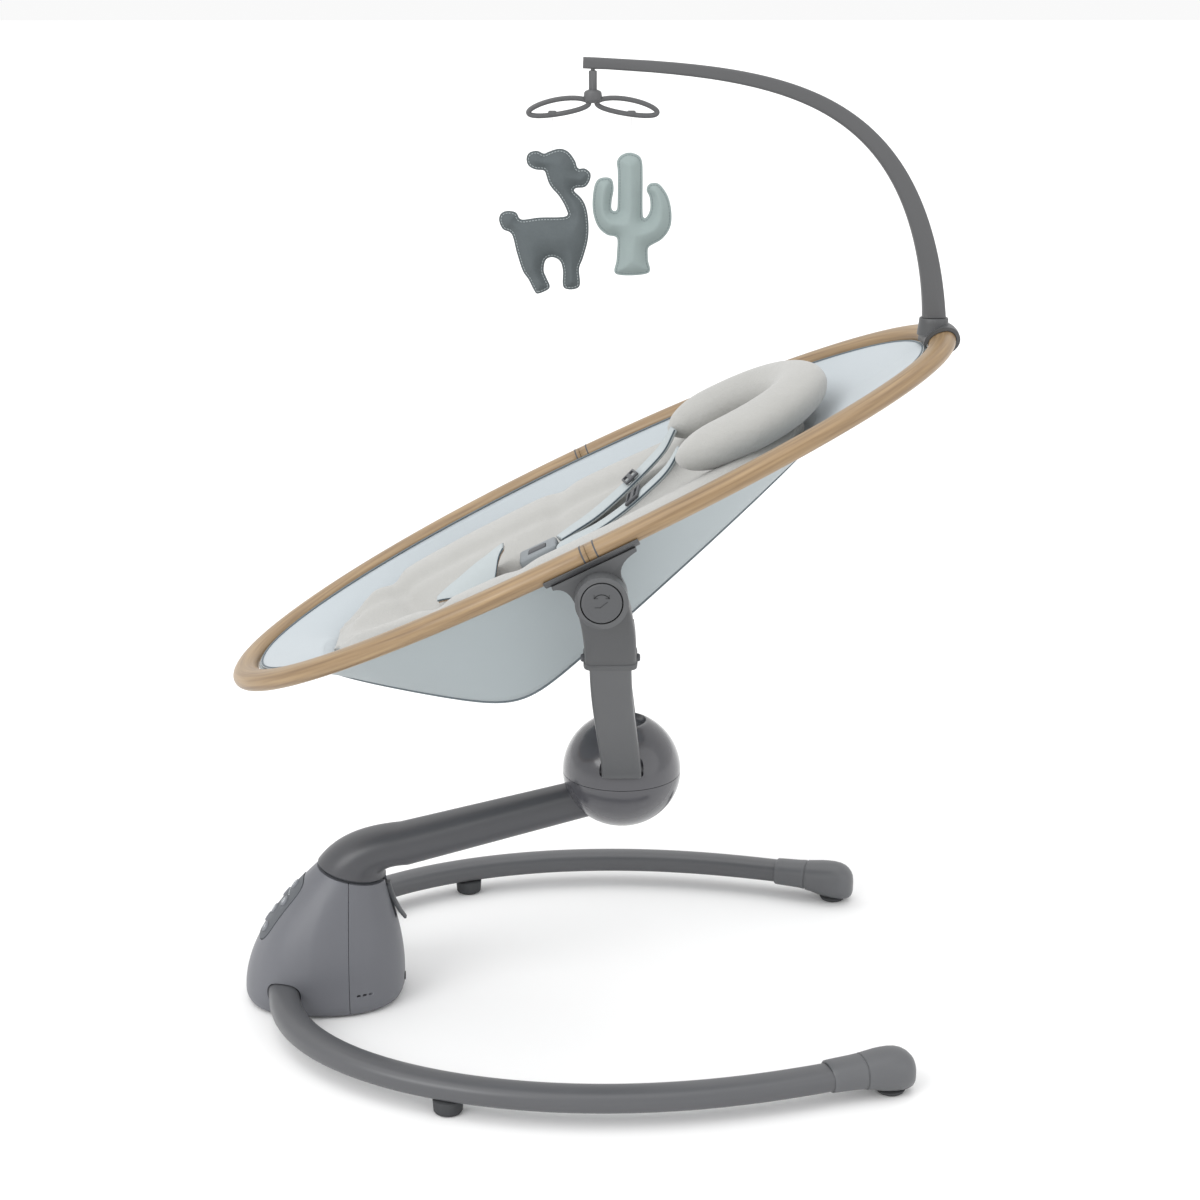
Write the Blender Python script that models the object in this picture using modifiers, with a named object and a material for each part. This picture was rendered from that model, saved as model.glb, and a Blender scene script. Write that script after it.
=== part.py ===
"""Infant swing: a padded seat hung in an oval wood-look rail, rocked from side to side on one arm.

Metres, +Z up, floor at Z = 0, foot end of the seat towards -Y, the child's left towards +X.
"""
import math

import bmesh
import bpy
from mathutils import Matrix, Vector
from mathutils.bvhtree import BVHTree

# ---- driving sizes ----------------------------------------------------------------------------

GAP = 0.0004  # play between two pieces that meet
RAIL_PLAY = 0.0012  # play between the rail and the pieces that clasp it

SEAT_LENGTH = 0.830  # rail, centre line to centre line
SEAT_WIDTH = 0.442
SEAT_TILT = math.radians(25.75)  # head end up
SEAT_HEIGHT = 0.574  # middle of the rail above the floor
RAIL_HALF_WIDTH = 0.0148  # the rail is a flattened tube
RAIL_HALF_HEIGHT = 0.0100
RAIL_BOW = 0.0063  # the rail's middle stands this much above its two ends
RAIL_EGG = 0.022  # the foot end is this share wider than the head end
RAIL_POWER = 2.09  # how square the oval is

SHELL_WALL = 0.005
PANEL_HALF_WIDTH = 0.088  # bottom panel of the fabric bowl
PANEL_FOOT = 0.341  # how far the bottom panel runs to each end of the seat
PANEL_HEAD = 0.271
FOOT_SLOPE = 0.690  # how steeply the bowl's bottom falls from each end
HEAD_SLOPE = 0.305
PANEL_END_DEPTH = 0.022
BOTTOM_ROUNDING = 0.0175

PIVOT_DROP = 0.036  # recline pivot under the rail's plane
PIVOT_TO_FOOT = 0.006
SADDLE_LENGTH = 0.092
SADDLE_WALL = 0.0034
HEAD_RADIUS = 0.0245  # round head of the bracket, and the saddle's disc behind it
HEAD_THICKNESS = 0.020
CAP_RADIUS = 0.0200
CAP_TRAVEL = 0.004
PIVOT_RADIUS = 0.008

BRACKET_WIDTH = 0.052
BRACKET_THICKNESS = 0.025
BRACKET_BOTTOM = 0.4605
BRACKET_SET_IN = 0.029  # the bracket's mouth lies this much inside the rail
POST_WIDTH = 0.043
POST_THICKNESS = 0.015
POST_LEAN = math.radians(40.0)
SOCKET_DEPTH = 0.018
RELEASE_RADIUS = 0.0042
RELEASE_TRAVEL = 0.002

BALL_RADIUS = 0.066
BALL_Y = 0.038
BALL_Z = 0.269
BALL_WALL = 0.0032
POST_FOOT_ABOVE_SEAM = 0.016

SWING_LEAN = math.radians(13.0)
HUB_HEIGHT = 0.151
HUB_NECK_Y = -0.268
HUB_NECK_RADIUS = 0.0395
HUB_BASE_Y = -0.302
HUB_BASE_LENGTH = 0.181
HUB_BASE_WIDTH = 0.148
HUB_WALL = 0.003
ARM_HALF_HEIGHT = 0.0222  # past the elbow; it thins towards the ball
ARM_HALF_WIDTH = 0.031
ARM_BALL_HALF_HEIGHT = 0.0198
ARM_BALL_HALF_WIDTH = 0.023
SPINDLE_RADIUS = 0.008
BEARING_RADIUS = 0.0135
BEARING_PLAY = 0.0001

BASE_WIDTH = 0.634  # across the outer sides of the legs
BASE_FRONT = 0.338  # tips of the feet
LEG_WIDTH = 0.034
LEG_HEIGHT = 0.025
LEG_CENTRE = 0.0285  # leg's centre line above the floor
# the leg's sweep: how far out, and how far to the front, as shares of the base
LEG_CURVE = ((0.187, 0.0), (0.517, 0.020), (0.863, 0.054), (1.337, 0.481), (0.910, 0.786), (0.777, 1.0))
FOOT_LENGTH = 0.098
PAD_RADIUS = 0.0160
SOLE_HEIGHT = 0.0046

TOY_BAR_TOP = 1.0375
TOY_BAR_TIP_Y = -0.0035
# the toy bar's sweep: how far it has run to the foot end, and up, as shares of the whole
TOY_BAR_CURVE = ((0.0, 0.0), (0.015, 0.339), (0.122, 0.882), (0.385, 0.963), (1.0, 1.0))
TOY_BAR_BASE_HALF = 0.0125
TOY_BAR_TIP_HALF = 0.0055
TOY_PEG_RADIUS = 0.006
STRING_RADIUS = 0.0007
STRING_PLAY = 0.0012  # the string starts this much under its hook, so that it can sway
TOY_HALF_THICKNESS = 0.014

# ---- sizes that follow ------------------------------------------------------------------------

HALF_LENGTH = SEAT_LENGTH / 2
HALF_WIDTH = SEAT_WIDTH / 2
SEAT_UP = Vector((0, -math.sin(SEAT_TILT), math.cos(SEAT_TILT)))
SEAT_ALONG = Vector((0, math.cos(SEAT_TILT), math.sin(SEAT_TILT)))
SEAT_CENTRE = Vector((0, 0, SEAT_HEIGHT))
PIVOT = SEAT_CENTRE - SEAT_UP * PIVOT_DROP - SEAT_ALONG * PIVOT_TO_FOOT
NECK = Vector((0, HUB_NECK_Y, HUB_HEIGHT))
SWING_AXIS = Vector((0, math.sin(SWING_LEAN), math.cos(SWING_LEAN)))
SWING_TURN = Matrix.Rotation(-SWING_LEAN, 4, "X")
BALL = Vector((0, BALL_Y, BALL_Z))
HEAD_INNER = HALF_WIDTH + 0.014
HEAD_OUTER = HEAD_INNER + HEAD_THICKNESS
SADDLE_INNER = HEAD_INNER - 0.0135
SIDES = {"left": 1, "right": -1}

# ---- finishes: colour, roughness, metallic ----------------------------------------------------

GREY = ((0.105, 0.110, 0.125, 1), 0.42, 0.0)
DARK_GREY = ((0.060, 0.063, 0.070, 1), 0.50, 0.0)
MID_GREY = ((0.125, 0.130, 0.142, 1), 0.45, 0.0)
RUBBER = ((0.030, 0.031, 0.033, 1), 0.85, 0.0)
WOOD_LOOK = ((0.420, 0.270, 0.135, 1), 0.45, 0.0)
STEEL = ((0.560, 0.570, 0.580, 1), 0.30, 1.0)
COPPER = ((0.720, 0.360, 0.180, 1), 0.35, 1.0)
BOARD = ((0.030, 0.140, 0.070, 1), 0.50, 0.0)
OUTER_CLOTH = ((0.470, 0.530, 0.545, 1), 0.90, 0.0)
PLUSH = ((0.560, 0.555, 0.520, 1), 1.00, 0.0)
WEBBING = ((0.570, 0.620, 0.630, 1), 0.90, 0.0)
DARK_FELT = ((0.100, 0.120, 0.128, 1), 1.00, 0.0)
PALE_CLOTH = ((0.400, 0.480, 0.470, 1), 0.95, 0.0)
THREAD = ((0.800, 0.800, 0.800, 1), 0.80, 0.0)

# ---- scene helpers ----------------------------------------------------------------------------

for old in list(bpy.data.objects):
    bpy.data.objects.remove(old, do_unlink=True)

SWING = bpy.data.collections.new("infant_swing")
CUTTERS = bpy.data.collections.new("cutters")
CUTTERS.hide_render = True
for group in (SWING, CUTTERS):
    bpy.context.scene.collection.children.link(group)


def axis_at(name, position, parent=None, turn=None):
    """An empty on a joint's axis."""
    empty = bpy.data.objects.new(name, None)
    empty.empty_display_size = 0.03
    SWING.objects.link(empty)
    empty.parent = parent
    frame = Matrix.Translation(position)
    if turn is not None:
        frame = frame @ turn
    empty.matrix_basis = frame
    return empty


def finish(obj, look, parent=None):
    """Adds a piece to the swing with a material of its own."""
    colour, roughness, metallic = look
    surface = bpy.data.materials.new(obj.name)
    surface.use_nodes = True
    shader = surface.node_tree.nodes["Principled BSDF"]
    shader.inputs["Base Color"].default_value = colour
    shader.inputs["Roughness"].default_value = roughness
    shader.inputs["Metallic"].default_value = metallic
    obj.data.materials.clear()
    obj.data.materials.append(surface)
    SWING.objects.link(obj)
    if parent is not None:
        obj.parent = parent
    return obj


def as_cutter(obj, parent=None):
    """Puts a shape among the hidden ones that only cut or join."""
    obj.hide_render = True
    obj.display_type = "WIRE"
    CUTTERS.objects.link(obj)
    if parent is not None:
        obj.parent = parent
    return obj


def combine(obj, other, operation):
    modifier = obj.modifiers.new(other.name, "BOOLEAN")
    modifier.operation = operation
    modifier.solver = "EXACT"
    modifier.object = other
    return obj


def cut(obj, other):
    return combine(obj, other, "DIFFERENCE")


def join(obj, other):
    return combine(obj, other, "UNION")


def from_bmesh(name, bm, smooth=True):
    bmesh.ops.recalc_face_normals(bm, faces=bm.faces)
    for face in bm.faces:
        face.smooth = smooth
    mesh = bpy.data.meshes.new(name)
    bm.to_mesh(mesh)
    bm.free()
    return bpy.data.objects.new(name, mesh)


def moved(obj, frame):
    """Turns and moves the mesh or curve itself, so that the object stays at its parent's origin."""
    obj.data.transform(frame)
    return obj


def block(name, size, centre, rounding=0.0, steps=2):
    """A box, with rounded edges if asked."""
    bm = bmesh.new()
    bmesh.ops.create_cube(bm, size=1.0)
    bmesh.ops.scale(bm, vec=size, verts=bm.verts)
    if rounding:
        edges = list(bm.edges)
        bmesh.ops.bevel(bm, geom=edges, offset=rounding, segments=steps, affect="EDGES", profile=0.5)
    bmesh.ops.translate(bm, vec=centre, verts=bm.verts)
    return from_bmesh(name, bm, smooth=False)


def rod(name, radius, start, end, sides=24, end_radius=None):
    """A straight round bar between two points."""
    start = Vector(start)
    end = Vector(end)
    along = end - start
    far = radius if end_radius is None else end_radius
    bm = bmesh.new()
    bmesh.ops.create_cone(
        bm, cap_ends=True, segments=sides, radius1=radius, radius2=far, depth=along.length
    )
    frame = Matrix.Translation((start + end) / 2) @ along.to_track_quat("Z", "Y").to_matrix().to_4x4()
    bmesh.ops.transform(bm, matrix=frame, verts=bm.verts)
    return from_bmesh(name, bm)


def turned(name, profile, steps=32):
    """A turned piece: (radius, height) pairs from the top down, spun about Z."""
    bm = bmesh.new()
    points = [bm.verts.new((radius, 0, height)) for radius, height in profile]
    for first, second in zip(points, points[1:]):
        bm.edges.new((first, second))
    if profile[0][0] > 0:
        bm.edges.new((points[-1], points[0]))
    mesh = bpy.data.meshes.new(name)
    bm.to_mesh(mesh)
    bm.free()
    obj = bpy.data.objects.new(name, mesh)
    spin = obj.modifiers.new("spin", "SCREW")
    spin.axis = "Z"
    spin.steps = steps
    spin.render_steps = steps
    spin.use_merge_vertices = True
    spin.merge_threshold = 0.00001
    return obj


def oval(centre, first, second, power=2.0, count=20):
    """Points round a rounded section: half-axes as two vectors."""
    centre = Vector(centre)
    points = []
    for i in range(count):
        angle = 2 * math.pi * i / count
        c = math.cos(angle)
        s = math.sin(angle)
        a = math.copysign(abs(c) ** (2 / power), c)
        b = math.copysign(abs(s) ** (2 / power), s)
        points.append(centre + Vector(first) * a + Vector(second) * b)
    return points


def loft(name, sections, smooth=True):
    """Skins unlike sections of equal point count and closes both ends."""
    bm = bmesh.new()
    rows = [[bm.verts.new(point) for point in section] for section in sections]
    count = len(rows[0])
    for lower, upper in zip(rows, rows[1:]):
        for i in range(count):
            j = (i + 1) % count
            bm.faces.new((lower[i], lower[j], upper[j], upper[i]))
    bm.faces.new(rows[0])
    bm.faces.new(rows[-1])
    return from_bmesh(name, bm, smooth)


def mix(a, b, share):
    return a + (b - a) * share


def bezier(points, share):
    """A point on the Bezier curve of any number of control points."""
    points = [Vector(point) for point in points]
    while len(points) > 1:
        points = [mix(a, b, share) for a, b in zip(points, points[1:])]
    return points[0]


def wire(name, points, radius, sides=2, cyclic=False):
    """A round rod along points; radius is one number or one per point."""
    curve = bpy.data.curves.new(name, "CURVE")
    curve.dimensions = "3D"
    curve.bevel_depth = 1.0
    curve.bevel_resolution = sides
    curve.use_fill_caps = not cyclic
    spline = curve.splines.new("POLY")
    spline.points.add(len(points) - 1)
    for i, point in enumerate(points):
        spline.points[i].co = (*point, 1)
        spline.points[i].radius = radius[i] if isinstance(radius, (list, tuple)) else radius
    spline.use_cyclic_u = cyclic
    return bpy.data.objects.new(name, curve)


def solid(obj):
    """The mesh of a curve, closed, in place of the curve."""
    CUTTERS.objects.link(obj)
    graph = bpy.context.evaluated_depsgraph_get()
    mesh = bpy.data.meshes.new_from_object(obj.evaluated_get(graph))
    name = obj.name
    bpy.data.objects.remove(obj, do_unlink=True)
    bm = bmesh.new()
    bm.from_mesh(mesh)
    bmesh.ops.remove_doubles(bm, verts=bm.verts, dist=0.00001)
    bpy.data.meshes.remove(mesh)
    return from_bmesh(name, bm)


# ---- joint axes -------------------------------------------------------------------------------

swing_axis = axis_at("swing_axis", NECK, turn=SWING_TURN)
recline_axis = axis_at("recline_axis", PIVOT, turn=Matrix.Rotation(SEAT_TILT, 4, "X"))
seat = axis_at("seat_frame", (0, PIVOT_TO_FOOT, PIVOT_DROP), parent=recline_axis)

# ---- hub: two bell-shaped half shells on a base plate ------------------------------------------

HUB_FLOOR = 0.0030


def hub_section(share, inset, count=26):
    """One ring of the hub's outside, share 0 at the bottom and 1 at the neck."""
    swell = math.cos(math.pi / 2 * max(0.0, (share - 0.10) / 0.90))
    tuck = 0.0035 * max(0.0, 1 - share / 0.07) ** 2
    half_length = mix(HUB_NECK_RADIUS, HUB_BASE_LENGTH / 2, swell) - inset - tuck
    half_width = mix(HUB_NECK_RADIUS, HUB_BASE_WIDTH / 2, swell) - inset - tuck
    centre_y = mix(HUB_BASE_Y, HUB_NECK_Y, share**2)
    centre_z = mix(HUB_FLOOR, HUB_HEIGHT - 0.0008, share)
    lean = SWING_LEAN * share**3
    along = Vector((0, math.cos(lean), -math.sin(lean)))
    power = mix(2.35, 2.0, share)
    return oval((0, centre_y, centre_z), (half_width, 0, 0), along * half_length, power, count)


HUB_SHARES = (0.0, 0.06, 0.25, 0.47, 0.68, 0.87, 1.0)


def hub_solid(name, inset=0.0, shares=HUB_SHARES):
    return loft(name, [hub_section(share, inset) for share in shares])


def hub_inside(name):
    """The room inside the hub, open through the bottom and closed under the neck's lid."""
    shares = HUB_SHARES[:-1]
    sections = [hub_section(share, HUB_WALL) for share in shares]
    sections.insert(0, [point - Vector((0, 0, 0.01)) for point in sections[0]])
    sections.append([point - SWING_AXIS * HUB_WALL for point in hub_section(1.0, HUB_WALL)])
    return loft(name, sections)


LEG_STEPS = 16


def leg_path(side):
    """The leg's centre line, from inside the hub round to the foot."""
    half = side * (BASE_WIDTH / 2 - LEG_WIDTH / 2)
    back = HUB_BASE_Y - 0.041
    controls = [
        Vector((half * wide, mix(back, BASE_FRONT, share), LEG_CENTRE)) for wide, share in LEG_CURVE
    ]
    return [bezier(controls, i / LEG_STEPS) for i in range(LEG_STEPS + 1)]


def leg_frame(points, i):
    ahead = points[min(i + 1, len(points) - 1)] - points[max(i - 1, 0)]
    ahead.normalize()
    return Vector((ahead.y, -ahead.x, 0))


def leg_solid(name, side, extra, first, last):
    points = leg_path(side)
    sections = []
    for i in range(first, last + 1):
        across = leg_frame(points, i) * (LEG_WIDTH / 2 + extra)
        up = Vector((0, 0, LEG_HEIGHT / 2 + extra))
        sections.append(oval(points[i], across, up, 2.6, 14))
    return loft(name, sections)


LEG_LAST = 14  # station of the leg's path where the leg ends inside its foot

hub_outer_front = hub_solid("hub_front_shell")
hub_outer_rear = hub_solid("hub_rear_shell")
hub_room = as_cutter(hub_inside("hub_room"))
half_space = (0.4, 0.3, 0.4)
behind = (0, HUB_NECK_Y + 0.15 - GAP / 2, 0.1)
ahead_of = (0, HUB_NECK_Y - 0.15 + GAP / 2, 0.1)
hub_split_rear = as_cutter(block("hub_split_rear", half_space, behind))
hub_split_front = as_cutter(block("hub_split_front", half_space, ahead_of))
spindle_hole = as_cutter(
    rod("spindle_hole", SPINDLE_RADIUS + 0.006, NECK - SWING_AXIS * 0.02, NECK + SWING_AXIS * 0.02)
)
for shell, half in ((hub_outer_front, hub_split_rear), (hub_outer_rear, hub_split_front)):
    cut(shell, half)
    cut(shell, hub_room)
    cut(shell, spindle_hole)
for word, side in SIDES.items():
    mouth = as_cutter(leg_solid(f"leg_mouth_{word}", side, GAP, 0, 5))
    cut(hub_outer_front, mouth)
    cut(hub_outer_rear, mouth)

# four short slots low on each side of the rear shell let the sound out
for word, side in SIDES.items():
    for i in range(4):
        slot_y = HUB_NECK_Y + 0.010 + 0.0065 * i
        slot = block(f"sound_slot_{word}_{i}", (0.03, 0.0035, 0.0024), (side * 0.075, slot_y, 0.026))
        cut(hub_outer_rear, as_cutter(slot))

base_ring = hub_section(0.0, HUB_WALL + 2 * GAP)
plate_low = [Vector((point.x * 0.97, mix(HUB_BASE_Y, point.y, 0.97), 0.0)) for point in base_ring]
plate_mid = [Vector((point.x, point.y, 0.0015)) for point in base_ring]
plate_top = [Vector((point.x, point.y, 0.0070)) for point in base_ring]
base_plate = loft("base_plate", [plate_low, plate_mid, plate_top], smooth=False)

# ---- spindle, its tower, two bearings and the drive --------------------------------------------

TOWER_TOP = -0.034  # distances along the swing axis, from the neck down
TOWER_BOTTOM = -0.160
SPINDLE_BOTTOM = -0.118
SPINDLE_TOP = 0.016
BEARING_LENGTH = 0.009
TOWER_RADIUS = 0.0200

spindle_tower = turned(
    "spindle_tower",
    (
        (BEARING_RADIUS + GAP, TOWER_TOP),
        (TOWER_RADIUS, TOWER_TOP),
        (TOWER_RADIUS, -0.085),
        (TOWER_RADIUS + 0.008, TOWER_BOTTOM),
        (0.0, TOWER_BOTTOM),
        (0.0, SPINDLE_BOTTOM - 0.004),
        (BEARING_RADIUS + GAP, SPINDLE_BOTTOM - 0.004),
    ),
    24,
)
spindle = turned(
    "swing_spindle",
    (
        (0.0, SPINDLE_TOP),
        (SPINDLE_RADIUS - 0.001, SPINDLE_TOP),
        (SPINDLE_RADIUS, SPINDLE_TOP - 0.001),
        (SPINDLE_RADIUS, SPINDLE_BOTTOM + 0.001),
        (SPINDLE_RADIUS - 0.001, SPINDLE_BOTTOM),
        (0.0, SPINDLE_BOTTOM),
    ),
    24,
)


def bearing(name, top):
    inner = SPINDLE_RADIUS + BEARING_PLAY
    return turned(
        name,
        (
            (inner, top),
            (BEARING_RADIUS, top),
            (BEARING_RADIUS, top - BEARING_LENGTH),
            (inner, top - BEARING_LENGTH),
        ),
        24,
    )


# ---- swing arm: a dome over the neck, an elbow and a slim oval arm ------------------------------


def arm_sections(extra=0.0):
    base = NECK + SWING_AXIS * 0.0008
    elbow_end = Vector((0, HUB_NECK_Y + 0.0605, HUB_HEIGHT + 0.0315))
    elbow_turn = Vector((0, HUB_NECK_Y + 0.011, HUB_HEIGHT + 0.028))
    tip = BALL + Vector((0, -0.036, -0.0320))
    run = tip - elbow_end
    slope = math.atan2(run.z, run.y)
    sections = []
    elbow_steps = 6
    for i in range(elbow_steps + 1):
        share = i / elbow_steps
        centre = bezier((base, elbow_turn, elbow_end), share)
        lean = mix(math.pi / 2 - SWING_LEAN, slope, share)
        half = mix(ARM_HALF_HEIGHT, HUB_NECK_RADIUS, (1 - share) ** 2) + extra
        wide = mix(ARM_HALF_WIDTH, HUB_NECK_RADIUS, 1 - share) + extra
        across = Vector((0, -math.sin(lean), math.cos(lean)))
        sections.append(oval(centre, (wide, 0, 0), across * half, mix(2.0, 2.5, share), 18))
    across = Vector((0, -math.sin(slope), math.cos(slope)))
    for share in (0.33, 0.66, 1.0):
        centre = mix(elbow_end, tip, share)
        half = mix(ARM_HALF_HEIGHT, ARM_BALL_HALF_HEIGHT, share) + extra
        wide = mix(ARM_HALF_WIDTH, ARM_BALL_HALF_WIDTH, share) + extra
        sections.append(oval(centre, (wide, 0, 0), across * half, 2.5, 18))
    return sections


swing_arm = loft("swing_arm", arm_sections())
spindle_bore = as_cutter(
    rod(
        "spindle_bore",
        SPINDLE_RADIUS + GAP,
        NECK - SWING_AXIS * 0.005,
        NECK + SWING_AXIS * (SPINDLE_TOP + GAP),
    )
)
cut(swing_arm, spindle_bore)

# ---- ball at the arm's end ---------------------------------------------------------------------


def ball_profile(radius, top, bottom):
    """Half outline of the ball between two heights, flattened at the top."""
    flat = BALL_RADIUS * 0.90
    points = []
    steps = 5
    high = min(top, flat)
    for i in range(steps + 1):
        a = math.asin(min(1.0, high / radius))
        b = math.asin(max(-1.0, bottom / radius))
        angle = mix(a, b, i / steps)
        points.append((max(radius * math.cos(angle), 0.0), radius * math.sin(angle)))
    return points


def ball_half(name, upper):
    seam = GAP / 2
    flat = BALL_RADIUS * 0.90
    inner = BALL_RADIUS - BALL_WALL
    if upper:
        outside = ball_profile(BALL_RADIUS, flat, seam)
        inside = ball_profile(inner, flat - BALL_WALL - 0.002, seam)
        rim = outside[0][0]
        profile = [(0.0, flat - 0.002), (rim * 0.86, flat - 0.002), (rim * 0.93, flat)]
        profile += outside + inside[::-1] + [(0.0, flat - BALL_WALL - 0.002)]
    else:
        outside = ball_profile(BALL_RADIUS, -seam, -BALL_RADIUS)
        inside = ball_profile(inner, -seam, -inner)
        outside[-1] = (0.0, -BALL_RADIUS)
        inside[-1] = (0.0, -inner)
        profile = inside[::-1] + outside[:1] + outside[1:]
    return turned(name, profile, 24)


ball_upper = ball_half("ball_upper_shell", True)
ball_lower = ball_half("ball_lower_shell", False)
for shell in (ball_upper, ball_lower):
    shell.location = BALL

POST_BOTTOM = BALL_Z + POST_FOOT_ABOVE_SEAM
POST_X = BALL_RADIUS - 0.004  # centre of the post where it sits in the ball
POST_Y = BALL_Y - 0.002
POCKET_INNER = POST_X - POST_THICKNESS / 2 - 0.0008 - 0.003
TONGUE_HALF = 0.00225
TONGUE_WIDTH = 0.020
TONGUE_X = POST_X - POST_THICKNESS / 2 + TONGUE_HALF + 0.0002

arm_mouth = as_cutter(loft("arm_mouth", arm_sections(GAP)[6:]))
cut(ball_lower, arm_mouth)
for word, side in SIDES.items():
    outer_x = POCKET_INNER + 0.003
    pocket_size = (0.06, POST_WIDTH + 0.005, 0.08)
    pocket_centre = (side * (outer_x + 0.03), POST_Y, POST_BOTTOM - 0.0012 + 0.04)
    wall_size = (0.003, POST_WIDTH + 0.010, 0.075)
    wall_centre = (side * (POCKET_INNER + 0.0015), POST_Y, POST_BOTTOM - 0.004 + 0.0375)
    floor_size = (0.02, POST_WIDTH + 0.010, 0.003)
    floor_centre = (side * (POCKET_INNER + 0.01), POST_Y, POST_BOTTOM - 0.0012 - 0.0015)
    clip_top = BALL_RADIUS * 0.885
    clip_outline = ball_profile(BALL_RADIUS - 0.0006, clip_top, GAP)
    clip_profile = [(0.0, clip_top)] + clip_outline + [(0.0, GAP)]
    ball_clip = as_cutter(turned(f"ball_clip_{word}", clip_profile, 24))
    ball_clip.location = BALL
    lining = as_cutter(block(f"pocket_lining_{word}", wall_size, wall_centre))
    combine(lining, as_cutter(block(f"pocket_floor_{word}", floor_size, floor_centre)), "UNION")
    combine(lining, ball_clip, "INTERSECT")
    join(ball_upper, lining)
    cut(ball_upper, as_cutter(block(f"pocket_{word}", pocket_size, pocket_centre, 0.002)))
    slot_size = (2 * TONGUE_HALF + 2 * GAP, TONGUE_WIDTH + 2 * GAP, 0.04)
    slot_centre = (side * TONGUE_X, POST_Y, POST_BOTTOM)
    cut(ball_upper, as_cutter(block(f"tongue_slot_{word}", slot_size, slot_centre)))

YOKE_HALF = TONGUE_X - TONGUE_HALF - GAP
ball_yoke = block(
    "ball_yoke", (2 * YOKE_HALF, 0.034, 0.018), (0, POST_Y, BALL_Z - 0.011), 0.003
)

# ---- posts and brackets ------------------------------------------------------------------------

LEAN = Vector((math.sin(POST_LEAN), 0, math.cos(POST_LEAN)))
BRACKET_FOOT = Vector((HALF_WIDTH - BRACKET_SET_IN, PIVOT.y + 0.010, BRACKET_BOTTOM))


def side_section(centre, ahead, side, half_width, half_thickness, power=5.0, count=12):
    """A flat bar's section square to its run, wide along Y."""
    ahead = Vector((ahead.x, 0, ahead.z)).normalized()
    across = Vector((ahead.z, 0, -ahead.x)) * half_thickness
    points = oval(centre, (0, half_width, 0), across, power, count)
    return [Vector((point.x * side, point.y, point.z)) for point in points]


def post_line(share):
    top = BRACKET_FOOT + LEAN * (SOCKET_DEPTH - 0.001)
    low = Vector((POST_X, POST_Y, POST_BOTTOM))
    return bezier(
        (low, low + Vector((0, 0, 0.034)), BRACKET_FOOT - LEAN * 0.095, top), share
    )


def bar_sections(line, side, half_width, half_thickness, count, shares):
    sections = []
    for share in shares:
        ahead = line(min(share + 0.01, 1.0)) - line(max(share - 0.01, 0.0))
        sections.append(side_section(line(share), ahead, side, half_width, half_thickness, 5.0, count))
    return sections


def bracket_line(share):
    top = Vector((HEAD_INNER + HEAD_THICKNESS / 2, PIVOT.y, PIVOT.z))
    turn = BRACKET_FOOT + LEAN * 0.060
    return bezier((BRACKET_FOOT, turn, top), share)


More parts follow.
